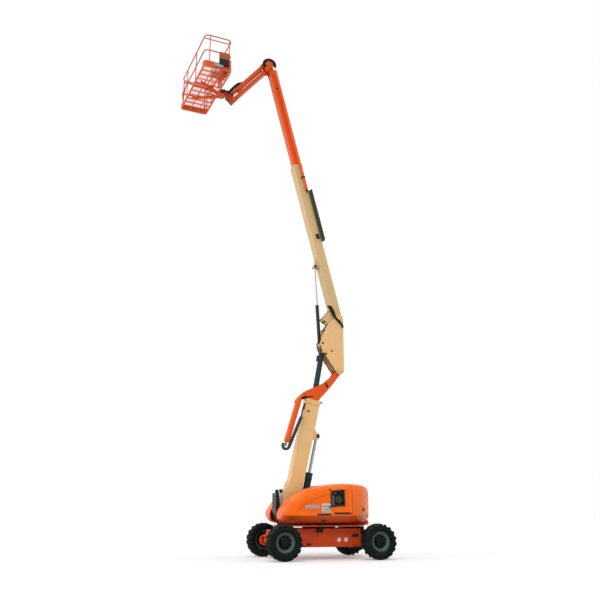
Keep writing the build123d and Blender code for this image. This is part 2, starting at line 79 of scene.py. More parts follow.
ground = Matrix.Identity(4)
towerPlace = beamPlace(pivot("tower_lift"), lineOf("tower_telescope"))
boomPlace = beamPlace(pivot("main_lift"), lineOf("main_telescope"))
jibLine = pivot("platform_level") - pivot("jib_lift")
jibPlace = beamPlace(pivot("jib_lift"), jibLine)
linkPlace = beamPlace(pivot("jib_link_swing"), jibLine)
deckOrigin = (pivot("platform_turn").x, 0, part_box("platform_floor")[1].z - 0.045)
deckPlace = Matrix.Translation(deckOrigin) @ Matrix.Rotation(math.radians(7), 4, "Z")


# ---- shader groups
def setInputs(node, values):  # a value is a constant or another node's socket
    for label, value in values.items():
        if isinstance(value, bpy.types.NodeSocket):
            node.id_data.links.new(value, node.inputs[label])
        else:
            node.inputs[label].default_value = value


def newNode(tree, kind, values=None):
    node = tree.nodes.new("ShaderNode" + kind)
    setInputs(node, values or {})
    return node


def newGroup(name, inputs, outputs):
    group = bpy.data.node_groups.new(name, "ShaderNodeTree")
    for label, value in inputs:
        kind = "NodeSocketColor" if isinstance(value, tuple) else "NodeSocketFloat"
        group.interface.new_socket(label, in_out="INPUT", socket_type=kind).default_value = value
    for label, kind in outputs:
        group.interface.new_socket(label, in_out="OUTPUT", socket_type="NodeSocket" + kind)
    return group, group.nodes.new("NodeGroupInput").outputs, group.nodes.new("NodeGroupOutput")


def mathNode(tree, operation, first, second, clamp=False):
    node = newNode(tree, "Math", {0: first, 1: second})
    node.operation, node.use_clamp = operation, clamp
    return node.outputs[0]


def noiseNode(tree, scale, detail):
    coords = newNode(tree, "TexCoord").outputs["Object"]
    return newNode(tree, "TexNoise", {"Vector": coords, "Scale": scale, "Detail": detail}).outputs["Fac"]


def stepNode(tree, value, low, high, toLow=0.0, toHigh=1.0):
    node = newNode(tree, "MapRange", {
        "Value": value, "From Min": low, "From Max": high, "To Min": toLow, "To Max": toHigh})
    node.interpolation_type = "SMOOTHSTEP"
    return node.outputs["Result"]


def mixNode(tree, factor, first, second):
    node = newNode(tree, "Mix")
    node.data_type = "RGBA"
    setInputs(node, {"Factor": factor, 6: first, 7: second})
    return node.outputs[2]


# Paint or rubber with patches, worn edges, dirt settled on what faces up, and painted shade on what faces
# down. With a bright colour the settled layer is a painted highlight on the tops.
def makeFilmAndPaintedLight():
    group, given, made = newGroup("filmAndPaintedLight", [
        ("Colour", (0.5, 0.5, 0.5, 1)), ("Patch Colour", (0.4, 0.4, 0.4, 1)),
        ("Edge Colour", (0.8, 0.8, 0.8, 1)),
        ("Dust Colour", (0.42, 0.36, 0.28, 1)), ("Deep Colour", (0.1, 0.1, 0.1, 1)),
        ("Patches", 0.3), ("Edge Wear", 0.2), ("Dust And Highlight", 0.15), ("Painted Shade", 0.0), ("Roughness", 0.4),
    ], [("Colour", "Color"), ("Roughness", "Float")])

    def times(first, second, clamp=False):
        return mathNode(group, "MULTIPLY", first, second, clamp)

    def clouds(scale, detail, low, high):
        return stepNode(group, noiseNode(group, scale, detail), low, high)

    normal = newNode(group, "NewGeometry").outputs["Normal"]
    bevel = newNode(group, "Bevel", {"Radius": 0.008})
    bevel.samples = 4
    dot = newNode(group, "VectorMath", {0: bevel.outputs[0], 1: normal})
    dot.operation = "DOT_PRODUCT"
    edge = stepNode(group, dot.outputs["Value"], 0.9, 0.995, 1.0, 0.0)
    facing = newNode(group, "SeparateXYZ", {0: normal}).outputs["Z"]
    # dirt settled on what faces up; with a bright colour it is a painted highlight on top
    dustAndHighlight = times(times(stepNode(group, facing, 0.25, 0.95), clouds(9, 6, 0.3, 0.7)), given["Dust And Highlight"], True)
    colour = given["Colour"]
    for share, label in (
        (times(clouds(2, 4, 0.35, 0.7), given["Patches"]), "Patch Colour"),
        # painted shade where the surface faces down
        (times(stepNode(group, facing, -0.85, -0.35, 1.0, 0.0), given["Painted Shade"]), "Deep Colour"),
        (times(times(edge, clouds(34, 5, 0.42, 0.62)), given["Edge Wear"], True), "Edge Colour"),
        (dustAndHighlight, "Dust Colour"),
    ):
        colour = mixNode(group, share, colour, given[label])
    rough = mathNode(group, "ADD", given["Roughness"], times(noiseNode(group, 15, 4), 0.10))
    setInputs(made, {"Colour": colour, "Roughness": mathNode(group, "ADD", rough, times(dustAndHighlight, 0.4), True)})
    return group


def makeGrain():
    group, given, made = newGroup("grain", [("Fine Scale", 300.0), ("Coarse Scale", 20.0), ("Coarse", 0.5)],
                                  [("Height", "Float")])
    coarse = mathNode(group, "MULTIPLY", noiseNode(group, given["Coarse Scale"], 4), given["Coarse"])
    setInputs(made, {"Height": mathNode(group, "ADD", noiseNode(group, given["Fine Scale"], 2), coarse)})
    return group


filmAndPaintedLight = makeFilmAndPaintedLight()
grain = makeGrain()

# colour, patch and edge colours; patches, edge wear, settled dirt, roughness; bump, coat, shine, metal;
# slot. On the orange paint the settled dirt is a painted highlight.
finishes = {
    "orangePaint": ((0.86, 0.135, 0.003), (0.77, 0.105, 0.002), (0.9, 0.3, 0.1),
                    0.35, 0.30, 0.38, 0.30, 0.03, 0.1, 0.12, 0, "orange_paint"),
    "chassisPaint": ((0.60, 0.062, 0.004), (0.46, 0.045, 0.004), (0.75, 0.2, 0.07),
                     0.5, 0.35, 0.10, 0.36, 0.05, 0.05, 0.18, 0, "frame_paint"),
    "railPaint": ((0.62, 0.095, 0.022), (0.5, 0.07, 0.018), (0.8, 0.3, 0.16),
                  0.4, 0.4, 0.10, 0.32, 0.04, 0.06, 0.18, 0, "orange_paint"),
    "towerPaint": ((0.76, 0.475, 0.205), (0.68, 0.41, 0.17), (0.86, 0.66, 0.42),
                   0.35, 0.25, 0.06, 0.30, 0.03, 0.08, 0.18, 0, "boom_paint"),
    # the tower's beige made darker for the main boom: partly the boom's own tone, partly painted shade on
    # its side
    "shadedBoomPaint": ((0.62, 0.43, 0.205), (0.54, 0.36, 0.165), (0.88, 0.74, 0.52),
                  0.4, 0.25, 0.06, 0.30, 0.03, 0.08, 0.18, 0, "boom_paint"),
    "cylinderPaint": ((0.018, 0.036, 0.045), (0.03, 0.045, 0.05), (0.12, 0.14, 0.15),
                      0.5, 0.35, 0.12, 0.30, 0.04, 0.02, 0.1, 0, "cylinder_paint"),
    "rimPaint": ((0.060, 0.092, 0.082), (0.035, 0.06, 0.052), (0.25, 0.28, 0.26),
                 0.5, 0.5, 0.15, 0.34, 0.04, 0.05, 0.18, 0, "rim_paint"),
    # the rim paint made near black for the recessed dish: painted shade
    "rimDishShade": ((0.006, 0.009, 0.008), (0.012, 0.016, 0.014), (0.05, 0.06, 0.055),
                 0.5, 0.4, 0.12, 0.42, 0.05, 0, 0.05, 0, "rim_paint"),
    "darkSteel": ((0.028, 0.028, 0.03), (0.045, 0.04, 0.036), (0.2, 0.19, 0.18),
                  0.6, 0.5, 0.2, 0.42, 0.06, 0, 0.1, 0.3, "dark_steel"),
    "guardPaint": ((0.013, 0.012, 0.012), (0.02, 0.02, 0.022), (0.12, 0.13, 0.15),
                   0.4, 0.4, 0.1, 0.32, 0.03, 0.06, 0.15, 0, "dark_steel"),
    "blackPlastic": ((0.016, 0.018, 0.02), (0.024, 0.026, 0.028), (0.06, 0.06, 0.065),
                     0.5, 0.3, 0.2, 0.5, 0.10, 0, 0.1, 0, "black_plastic"),
    "carrierPlastic": ((0.045, 0.048, 0.026), (0.07, 0.072, 0.045), (0.14, 0.14, 0.1),
                       0.5, 0.4, 0.25, 0.48, 0.08, 0, 0.12, 0, "carrier_plastic"),
    "tyreRubber": ((0.0035, 0.0075, 0.0052), (0.009, 0.014, 0.011), (0.045, 0.06, 0.05),
                   0.6, 0.7, 0.10, 0.55, 0.25, 0, 0.06, 0, "tyre_rubber"),
    "hoseRubber": ((0.010, 0.010, 0.011), (0.02, 0.02, 0.02), (0.03, 0.03, 0.03),
                   0.5, 0.1, 0.15, 0.45, 0.12, 0, 0.08, 0, "black_plastic"),
    # the orange paint made darker: painted shade on the flies, the level bracket and the platform
    "shadedOrangePaint": ((0.74, 0.088, 0.004), (0.66, 0.072, 0.003), (0.85, 0.28, 0.1),
                 0.35, 0.28, 0.04, 0.32, 0.03, 0.10, 0.18, 0, "orange_paint"),
    "jibPaint": ((0.62, 0.078, 0.010), (0.52, 0.062, 0.008), (0.8, 0.28, 0.12),
                 0.4, 0.35, 0.06, 0.32, 0.03, 0.08, 0.18, 0, "orange_paint"),
    "bracketPaint": ((0.36, 0.040, 0.006), (0.28, 0.03, 0.005), (0.6, 0.2, 0.08),
                     0.5, 0.35, 0.1, 0.38, 0.04, 0.04, 0.18, 0, "orange_paint"),
    "jibBrown": ((0.40, 0.085, 0.02), (0.32, 0.06, 0.015), (0.6, 0.25, 0.12),
                 0.5, 0.4, 0.1, 0.36, 0.04, 0.2, 0.18, 0, "orange_paint"),
    # dark olive for the recess between the upright's plates: painted shade
    "flangeRecessShade": ((0.10, 0.055, 0.022), (0.08, 0.042, 0.018), (0.35, 0.2, 0.1),
                    0.5, 0.3, 0.1, 0.42, 0.04, 0.1, 0.18, 0, "boom_paint"),
    "padRubber": ((0.012, 0.012, 0.012), (0.02, 0.02, 0.02), (0.05, 0.05, 0.05),
                  0.5, 0.4, 0.15, 0.6, 0.12, 0, 0.06, 0, "black_plastic"),
    "rodChrome": ((0.36, 0.39, 0.39), (0.28, 0.31, 0.31), (0.5, 0.5, 0.5),
                  0.2, 0, 0.03, 0.10, 0.004, 0, 0.5, 1, "rod_chrome"),
    "zincSteel": ((0.42, 0.41, 0.38), (0.30, 0.28, 0.24), (0.6, 0.6, 0.58),
                  0.6, 0.3, 0.15, 0.34, 0.05, 0, 0.5, 0.9, "dark_steel"),
    "greyVinyl": ((0.34, 0.35, 0.35), (0.28, 0.29, 0.29), (0.5, 0.5, 0.5),
                  0.4, 0.1, 0.1, 0.4, 0.01, 0.2, 0.18, 0, None),
    "whiteVinyl": ((0.62, 0.60, 0.56), (0.55, 0.53, 0.49), (0.85, 0.85, 0.85),
                   0.3, 0.1, 0.1, 0.36, 0.01, 0.2, 0.18, 0, None),
    "redLens": ((0.55, 0.012, 0.01), (0.45, 0.01, 0.01), (0.7, 0.1, 0.08),
                0.2, 0.1, 0.1, 0.12, 0.02, 0.8, 0.18, 0, None),
    "amberLens": ((0.85, 0.26, 0.02), (0.75, 0.2, 0.02), (0.9, 0.5, 0.2),
                  0.2, 0.1, 0.1, 0.12, 0.02, 0.8, 0.18, 0, None),
}
# painted highlight where the orange paint faces up and painted shade where it faces the ground
coverLightAndShade = {"Dust Colour": (0.95, 0.37, 0.09, 1), "Deep Colour": (0.40, 0.03, 0.002, 1), "Painted Shade": 0.8}


def makeFinish(name):
    colour, patch, edge, patches, wear, dustAndHighlight, rough, relief, coat, shine, metal = finishes[name][:-1]
    made = bpy.data.materials.new(name)
    made.use_nodes = True
    tree = made.node_tree
    film, skin = newNode(tree, "Group"), newNode(tree, "Group")
    film.node_tree, skin.node_tree = filmAndPaintedLight, grain
    setInputs(film, {"Colour": (*colour, 1), "Patch Colour": (*patch, 1), "Edge Colour": (*edge, 1),
                     "Patches": patches, "Edge Wear": wear, "Dust And Highlight": dustAndHighlight, "Roughness": rough})
    # the orange paint takes the painted highlight on top and the painted shade below
    if name == "orangePaint":
        setInputs(film, coverLightAndShade)
    bump = newNode(tree, "Bump", {"Strength": relief, "Distance": 0.004, "Height": skin.outputs["Height"]})
    setInputs(tree.nodes["Principled BSDF"], {
        "Base Color": film.outputs["Colour"], "Roughness": film.outputs["Roughness"], "Metallic": metal,
        "Normal": bump.outputs[0], "Coat Weight": coat, "Coat Roughness": 0.12, "Specular IOR Level": shine})
    return made


finish = {name: makeFinish(name) for name in finishes}
print("finishes made:", len(finish))

nodeLooks = {  # CAD nodes by finish, with their edge rounding in metres
    "chassisPaint": dict(chassis_frame=0.006, front_axle=0.006, rear_axle=0.004, knuckle_left=0.006,
                         knuckle_right=0.006, turntable_frame=0.004),
    "darkSteel": dict(swing_bearing=0.003, track_rod=0.002, engine_block=0.02),
    "guardPaint": dict(front_guard=0.012),
    "orangePaint": dict(hood_left=0.02, hood_right=0.02, counterweight=0.03),
    "shadedOrangePaint": dict(main_fly=0.008, tower_fly=0.004, level_bracket=0.006, platform_floor=0.002),
    "jibPaint": dict(jib_beam=0.006, jib_link=0.004),
    "bracketPaint": dict(platform_bracket=0.005),
    "railPaint": dict(platform_rails=0, platform_gate=0),
    "towerPaint": dict(tower_base=0.008, upright=0.004),
    "shadedBoomPaint": dict(main_boom_base=0.010),
    "cylinderPaint": dict(tower_lift_barrel=0.004, level_barrel=0.004, main_lift_barrel=0.004),
    "jibBrown": dict(jib_lift_barrel=0.003, jib_lift_rod=0.002),
    "rodChrome": dict(tower_lift_rod=0.002, level_rod=0.002, main_lift_rod=0.002),
    "carrierPlastic": dict(tower_carrier=0.003, main_carrier=0.003),
    "blackPlastic": dict(ground_panel=0.012, platform_console=0.015),
    "rimPaint": dict(rim_front_left=0),
}


def addBevel(piece, width, angle, segments):
    bevel = piece.modifiers.new("edges", "BEVEL")
    bevel.limit_method = "ANGLE"
    bevel.angle_limit = math.radians(angle)
    bevel.width = width
    bevel.segments = segments


def dressNode(name, look, rounding):
    part = nodes[name]
    part.data.materials.clear()
    part.data.materials.append(finish[look])
    if rounding:
        part.modifiers.new("weld", "WELD").merge_threshold = 0.00005
        addBevel(part, rounding, 32, 3)


for look, group in nodeLooks.items():
    for name, rounding in group.items():
        dressNode(name, look, rounding)


# ---- mesh helpers; a place is a matrix, and lengths are metres
def newMeshes(count):
    return [bmesh.new() for k in range(count)]


# Boxes from rows of x0, x1, y0, y1, z0, z1.
def addBlocks(mesh, place, *rows):
    for row in rows:
        xs, ys, zs = (sorted(row[k:k + 2]) for k in (0, 2, 4))
        corners = [mesh.verts.new(place @ Vector((x, y, z))) for x in xs for y in ys for z in zs]
        for face in ((0, 1, 3, 2), (4, 6, 7, 5), (0, 4, 5, 1), (2, 3, 7, 6), (0, 2, 6, 4), (1, 5, 7, 3)):
            mesh.faces.new([corners[k] for k in face])


# Turns a profile of (radius, along) about the place's x axis.
def addTurned(mesh, place, profile, sides=32, capped=True):
    rings = []
    for radius, along in profile:
        count = 1 if radius < 1e-6 else sides
        rings.append([
            mesh.verts.new(place @ Vector((along, radius * math.cos(turn), radius * math.sin(turn))))
            for turn in (2 * math.pi * k / count for k in range(count))
        ])
    for a, b in zip(rings, rings[1:]):
        for k in range(sides):
            corners = [a[k % len(a)], a[(k + 1) % len(a)], b[(k + 1) % len(b)], b[k % len(b)]]
            corners = [corner for i, corner in enumerate(corners) if corner not in corners[:i]]
            if len(corners) > 2:
                mesh.faces.new(corners)
    for ring in (rings[0], rings[-1]):
        if len(ring) > 2 and capped:
            mesh.faces.new(ring)


def towards(start, end):
    x = (Vector(end) - Vector(start)).normalized()
    place = x.to_track_quat("X", "Z").to_matrix().to_4x4()
    place.translation = Vector(start)
    return place


# A turned part standing at each spot of a place, along the place's own direction.
def addStuds(mesh, place, spots, out, profile, sides=24, capped=True):
    turn = place.to_3x3() @ Vector(out)
    for spot in spots:
        start = place @ Vector(spot)
        addTurned(mesh, towards(start, start + turn), profile, sides, capped)


# Hexagon heads with their washers.
def addBolts(mesh, place, spots, out, radius=0.012):
    washer = [(radius * 1.5, -0.002), (radius * 1.5, radius * 0.22)]
    head = [(radius, 0), (radius, radius * 0.9), (radius * 0.75, radius * 1.15)]
    addStuds(mesh, place, spots, out, washer, 16)
    addStuds(mesh, place, spots, out, head, 6)


def addRod(mesh, start, end, radius, sides=20, edge=0.0):
    length = (Vector(end) - Vector(start)).length
    profile = [(radius, 0), (radius, length)]
    if edge:
        profile = [(radius - edge, 0), (radius, edge), (radius, length - edge), (radius - edge, length)]
    addTurned(mesh, towards(start, end), profile, sides)


# An outline of (x, z) in the place's side view, from y0 to y1.
def addPlate(mesh, place, outline, y0, y1):
    near, far = ([mesh.verts.new(place @ Vector((x, y, z))) for x, z in outline] for y in (y0, y1))
    mesh.faces.new(near)
    mesh.faces.new(far)
    for a, b, c, d in zip(near, near[1:] + near[:1], far[1:] + far[:1], far):
        mesh.faces.new((a, b, c, d))


def ringOf(radius, count):
    turns = [2 * math.pi * k / count for k in range(count)]
    return [(radius * math.cos(turn), radius * math.sin(turn)) for turn in turns]


def addObject(name, data):
    piece = bpy.data.objects.new(name, data)
    scene.collection.objects.link(piece)
    return piece


def objectOf(mesh, name, look=None):
    data = bpy.data.meshes.new(name)
    mesh.to_mesh(data)
    mesh.free()
    if look:
        data.materials.append(finish[look])
    data.polygons.foreach_set("use_smooth", [True] * len(data.polygons))
    return addObject(name, data)


def joinBody(piece, body):
    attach(piece, body)


def finishPiece(mesh, name, body, look, rounding=0.0, angle=35, replaced=None):
    bmesh.ops.recalc_face_normals(mesh, faces=mesh.faces[:])
    piece = objectOf(mesh, name, look)
    piece.data.set_sharp_from_angle(angle=math.radians(angle))
    if rounding:
        addBevel(piece, rounding, angle, 2)
    joinBody(piece, body)
    if replaced:
        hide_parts(replaced)
    return piece


def addHose(name, body, points, radius=0.011, look="hoseRubber", place=ground):
    curve = bpy.data.curves.new(name, "CURVE")
    curve.dimensions = "3D"
    curve.bevel_depth, curve.bevel_resolution = radius, 3
    curve.resolution_u = 8
    curve.use_fill_caps = True
    spline = curve.splines.new("NURBS")
    spline.points.add(len(points) - 1)
    for point, spot in zip(spline.points, points):
        point.co = (*(place @ Vector(spot)), 1)
    spline.order_u = 3
    spline.use_endpoint_u = True
    curve.materials.append(finish[look])
    piece = addObject(name, curve)
    joinBody(piece, body)
    return piece


# ---- camera, light and floor
view = dict(spot=(6.082, 18.419, 1.152), yaw=16.84, pitch=16.42, lens=43.0)
studio = dict(worldLevel=0.60, floorGlow=0.22, floorRadius=90, lamps=[  # name, level, where from, spread
    ("keyLight", 1.05, (0.4, 0.8, 0.9), 35), ("sideLight", 1.5, (1.0, 0.10, 0.08), 40),
    ("backLight", 0.45, (-0.9, 0.45, 0.35), 60),
])


def makeView():
    yaw, pitch = math.radians(view["yaw"]), math.radians(view["pitch"])
    ahead = Vector((-math.sin(yaw) * math.cos(pitch), -math.cos(yaw) * math.cos(pitch), math.sin(pitch)))
    right = Vector((-math.cos(yaw), math.sin(yaw), 0))
    data = bpy.data.cameras.new("view")
    data.lens, data.sensor_width = view["lens"], 36
    scene.camera = addObject("view", data)
    turn = Matrix((right, right.cross(ahead), -ahead)).transposed().to_4x4()
    scene.camera.matrix_world = Matrix.Translation(view["spot"]) @ turn
    scene.view_settings.view_transform = "Standard"


# One shader for light that bounces, another where the camera, a reflection or glass meets it directly.
def splitShader(tree, bounced, direct):
    rays = newNode(tree, "LightPath").outputs
    either = mathNode(tree, "ADD", rays["Is Camera Ray"], rays["Is Glossy Ray"], True)
    either = mathNode(tree, "ADD", either, rays["Is Transmission Ray"], True)
    return newNode(tree, "MixShader", {0: either, 1: bounced, 2: direct}).outputs[0]


def makeStudio():
    world = bpy.data.worlds.new("studio")
    scene.world = world
    world.use_nodes = True
    tree = world.node_tree
    soft, white = tree.nodes["Background"], newNode(tree, "Background", {"Strength": 1.0})
    setInputs(soft, {"Strength": studio["worldLevel"]})
    for shader in (soft, white):
        setInputs(shader, {"Color": (1, 1, 1, 1)})
    setInputs(tree.nodes["World Output"], {"Surface": splitShader(tree, soft.outputs[0], white.outputs[0])})
    for name, level, source, spread in studio["lamps"]:
        data = bpy.data.lights.new(name, "SUN")
        data.energy, data.angle = level, math.radians(spread)
        addObject(name, data).rotation_euler = Vector(source).to_track_quat("Z", "Y").to_euler()
    mesh = bmesh.new()
    bmesh.ops.create_circle(mesh, cap_ends=True, segments=64, radius=studio["floorRadius"])
    floor = objectOf(mesh, "floor")
    paper = bpy.data.materials.new("paleFloor")
    paper.use_nodes = True
    tree = paper.node_tree
    shader = tree.nodes["Principled BSDF"]
    setInputs(shader, {"Base Color": (0.86, 0.86, 0.86, 1), "Roughness": 0.9, "Specular IOR Level": 0.0})
    glow = newNode(tree, "Emission", {"Strength": studio["floorGlow"]})
    lit = newNode(tree, "AddShader", {0: shader.outputs[0], 1: glow.outputs[0]})
    seen = splitShader(tree, shader.outputs[0], lit.outputs[0])
    setInputs(tree.nodes["Material Output"], {"Surface": seen})
    floor.data.materials.append(paper)


makeView()
makeStudio()
print("view and studio set")

# ---- wheels; a section is (radius, outward)
tyreLook = dict(lugs=18, lugTurn=0.16, lugHalf=0.075, seams=((0.318, 0.1715), (0.268, 0.153)))
tyreHalf = [
    (0.402, 0.09), (0.396, 0.140), (0.378, 0.164), (0.345, 0.172), (0.300, 0.169), (0.262, 0.150),
    (0.236, 0.128),
]
tyreSection = [(radius, -y) for radius, y in reversed(tyreHalf)] + [(0.404, 0)] + tyreHalf
lugSections = [  # outer y, outer radius, inner y, inner radius, turn share, width share
    (0.012, 0.428, 0.012, 0.395, 0.0, 0.72), (0.070, 0.4295, 0.070, 0.395, 0.35, 0.85),
    (0.125, 0.427, 0.120, 0.39, 0.7, 0.95), (0.158, 0.415, 0.140, 0.38, 0.9, 1.0),
    (0.1735, 0.392, 0.155, 0.37, 1.0, 1.0), (0.1745, 0.352, 0.160, 0.345, 1.03, 0.9),
]
rimSection = [
    (0.205, -0.05), (0.214, -0.104), (0.2335, -0.132), (0.2335, -0.124), (0.222, -0.118), (0.214, -0.10),
    (0.190, -0.08), (0.186, 0.02), (0.190, 0.085), (0.212, 0.105), (0.222, 0.118), (0.2335, 0.124),
    (0.2335, 0.132), (0.226, 0.136), (0.214, 0.130), (0.206, 0.116), (0.184, 0.100), (0.172, 0.092),
    (0.166, 0.080), (0.166, 0.018),
]
dishSection = [
    (0.167, 0.030), (0.155, 0.016), (0.120, 0.020), (0.108, 0.030), (0.100, 0.046), (0.100, 0.058),
    (0.092, 0.072), (0.060, 0.078), (0.0, 0.078),
]


def addLug(mesh, place, side, start):
    strips = []
    for yOut, rOut, yIn, rIn, turn, width in lugSections:
        mid = start + tyreLook["lugTurn"] * turn
        half = tyreLook["lugHalf"] * width
        foot = half * 1.15
        strips.append([
            mesh.verts.new(place @ Vector((side * y, r * math.cos(mid + swing), r * math.sin(mid + swing))))
            for y, r, swing in ((yIn, rIn, -foot), (yOut, rOut, -half), (yOut, rOut, half), (yIn, rIn, foot))
        ])
    for a, b in zip(strips, strips[1:]):
        for m in range(4):
            mesh.faces.new((a[m], a[(m + 1) % 4], b[(m + 1) % 4], b[m]))
    mesh.faces.new(strips[0])
    mesh.faces.new(strips[-1])


def makeWheel(corner, hand):
    body = "wheel_" + corner
    # x points out
    place = Matrix.Translation(pivot("spin_" + corner)) @ Matrix.Rotation(hand * math.pi / 2, 4, "Z")
    tyre, rim, dish, nuts = newMeshes(4)
    addTurned(tyre, place, tyreSection + [tyreSection[0]], 72, False)
    for side in both:
        for k in range(tyreLook["lugs"]):
            addLug(tyre, place, side, 2 * math.pi * (k + side * 0.25) / tyreLook["lugs"])
        for radius, height in tyreLook["seams"]:
            bead = ((-0.006, -0.006), (-0.003, 0), (0.003, 0), (0.006, -0.006))
            addTurned(tyre, place, [(radius + r, side * (height + rise)) for r, rise in bead], 72, False)
    finishPiece(tyre, "tyre_dressed_" + corner, body, "tyreRubber", 0.003, 30, "tyre_" + corner)
    addTurned(rim, place, rimSection, 64, False)
    finishPiece(rim, "rim_dressed_" + corner, body, "rimPaint", 0.002, 35, "rim_" + corner)
    addTurned(dish, place, dishSection, 64, False)
    addTurned(dish, place, [(0.170, 0.01), (0.150, -0.004), (0.0, -0.004)], 64, False)
    addBolts(dish, place, [(0.076, y, z) for y, z in ringOf(0.074, 8)], (1, 0, 0), 0.006)
    # the recessed dish in near black: painted shade
    finishPiece(dish, "rim_dish_" + corner, body, "rimDishShade", 0.002, 35, "rim_" + corner)
    spots = [(0.022, y, z) for y, z in ringOf(0.138, 9)]
    addStuds(nuts, place, spots, (1, 0, 0), [(0.009, -0.006), (0.009, 0.034)], 12)
    addBolts(nuts, place, spots, (1, 0, 0), 0.015)
    addRod(nuts, place @ Vector((0.12, 0.2, 0.07)), place @ Vector((0.15, 0.192, 0.067)), 0.005, 8)  # valve
    finishPiece(nuts, "wheel_nuts_" + corner, body, "darkSteel", 0.001)


for end in ("front_", "rear_"):
    for side, hand in hands.items():
        makeWheel(end + side, hand)
print("wheels done")

# ---- chassis
chassisLook = dict(side=0.68, plate=0.006, ledge=0.012, axle=1.22, hub=0.43, boltRadius=0.009)
capProfile = [(0.040, 0), (0.040, 0.006), (0.034, 0.012), (0, 0.012)]
reflectorProfile = [(0.052, 0), (0.052, 0.004), (0.047, 0.006), (0, 0.006)]


def makeChassisTrim():
    plates, bolts, reflectors, fittings = newMeshes(4)
    for hand in both:
        y, skin, ledge = (hand * (chassisLook["side"] + out)
                          for out in (0, chassisLook["plate"], chassisLook["ledge"]))
        addBlocks(plates, ground, (-0.56, 0.30, y, skin, 0.36, 0.66), (0.36, 0.72, y, skin, 0.46, 0.70),
                  (-0.86, 0.74, y, ledge, 0.714, 0.736), (-0.86, 0.74, y, ledge, 0.304, 0.324))
        for end in both:  # gussets that carry the axle beams
            for x in (1.04, 1.24):
                outline = [(end * 0.70, 0.70), (end * x, 0.70), (end * x, 0.57), (end * 0.76, 0.34)]
                addPlate(plates, ground, outline, hand * 0.25, hand * 0.264)
            addBolts(bolts, ground, [(end * 1.33, hand * 0.17, z) for z in (0.59, 0.66)], (end, 0, 0), 0.014)
        for xs, zs in (((-0.53, -0.13, 0.27), (0.39, 0.63)), ((0.39, 0.69), (0.49, 0.67))):
            addBolts(bolts, ground, [(x, skin, z) for x in xs for z in zs], (0, hand, 0))
        addStuds(reflectors, ground, [(x, skin, 0.47) for x in (-0.303, -0.488)], (0, hand, 0),
                 reflectorProfile, 32)
        addBlocks(fittings, ground, (-0.83, -0.65, hand * 0.671, hand * 0.676, 0.533, 0.601),
                  (0.43, 0.62, skin, skin + hand * 0.012, 0.352, 0.392))
        for x in (-0.80, -0.74, -0.68):
            addRod(fittings, (x, hand * 0.676, 0.567), (x, hand * 0.683, 0.567), 0.018, 16, 0.002)
    addBlocks(fittings, ground, (-1.03, -0.90, 0.44, 0.54, 0.62, 0.78),
              (-0.93, -0.87, 0.46, 0.52, 0.66, 0.70),
              (-1.045, -1.02, 0.455, 0.525, 0.735, 0.775))
    finishPiece(plates, "chassis_plates", "chassis", "chassisPaint", 0.002)
    finishPiece(bolts, "chassis_bolts", "chassis", "chassisPaint")
    finishPiece(reflectors, "chassis_reflectors", "chassis", "whiteVinyl")
    finishPiece(fittings, "chassis_fittings", "chassis", "blackPlastic", 0.004)


def makeAxleHoses():
    for name, end, reach in (("front", 1, 0.62), ("rear", -1, 0.66)):
        for side, hand in hands.items():
            for k in (0, 1):
                y, lift = hand * (0.30 + 0.04 * k), 0.03 * k
                points = [
                    (end * 0.76, y, 0.62), (end * 0.86, y, 0.61), (end * 1.10, hand * 0.42, 0.60 + lift),
                    (end * 1.20, hand * 0.56, 0.56 + lift), (end * 1.22, hand * reach, 0.505 + lift * 0.3),
                ]
                addHose("axle_hose_%s_%s_%d" % (name, side, k), "chassis", points, 0.013)


def makeAxleTrim():
    axle, hub, radius = chassisLook["axle"], chassisLook["hub"], chassisLook["boltRadius"]
    bolts = bmesh.new()
    for k in both:
        hubBolts = [(x - axle, k * 0.851, hub + z) for x, z in ringOf(0.125, 12)]
        endBolts = [(k * (axle + 0.085), y, hub + z) for y, z in ringOf(0.081, 8)]
        addBolts(bolts, ground, hubBolts, (0, k, 0), radius)
        addBolts(bolts, ground, endBolts, (k, 0, 0), radius)
    finishPiece(bolts, "axle_bolts", "chassis", "zincSteel")
    for side, hand in hands.items():
        mesh = bmesh.new()
        hubBolts = [(axle + x, hand * 0.857, hub + z) for x, z in ringOf(0.118, 10)]
        addBolts(mesh, ground, hubBolts, (0, -hand, 0), radius)
        for out in both:
            addStuds(mesh, ground, [(axle, hand * 0.8, hub + out * 0.108)], (0, 0, out), capProfile)
        finishPiece(mesh, "knuckle_bolts_" + side, "knuckle_" + side, "zincSteel")


makeChassisTrim()
makeAxleHoses()
makeAxleTrim()
print("chassis done")

# ---- hoods and tail; a station is x, top, side, skirt edge, underside
hoodStations = [
    (-0.496, 1.822, 1.160, 1.05, 0.846), (-0.30, 1.826, 1.166, 1.05, 0.846),
    (0.00, 1.802, 1.166, 1.05, 0.846), (0.30, 1.754, 1.164, 1.05, 0.846), (0.55, 1.690, 1.158, 1.05, 0.846),
    (0.76, 1.602, 1.138, 1.05, 0.846), (0.92, 1.502, 1.100, 1.05, 0.848), (1.05, 1.385, 1.040, 1.05, 0.860),
    (1.145, 1.265, 0.965, 1.05, 0.895), (1.200, 1.170, 0.890, 1.05, 0.945),
    (1.224, 1.110, 0.810, 1.035, 0.985),
]
tailStations = [
    (-0.506, 1.820, 1.150, 1.05, 0.846), (-0.65, 1.820, 1.072, 1.05, 0.846),
    (-0.80, 1.812, 0.966, 1.05, 0.846), (-0.93, 1.800, 0.838, 1.05, 0.850),
    (-1.05, 1.780, 0.682, 1.05, 0.870), (-1.14, 1.752, 0.530, 1.05, 0.905),
    (-1.205, 1.712, 0.425, 1.05, 0.955), (-1.243, 1.640, 0.372, 1.06, 1.010),
]
hoodLook = dict(inner=0.352, wall=0.016, recess=0.026, recessEdge=0.034)
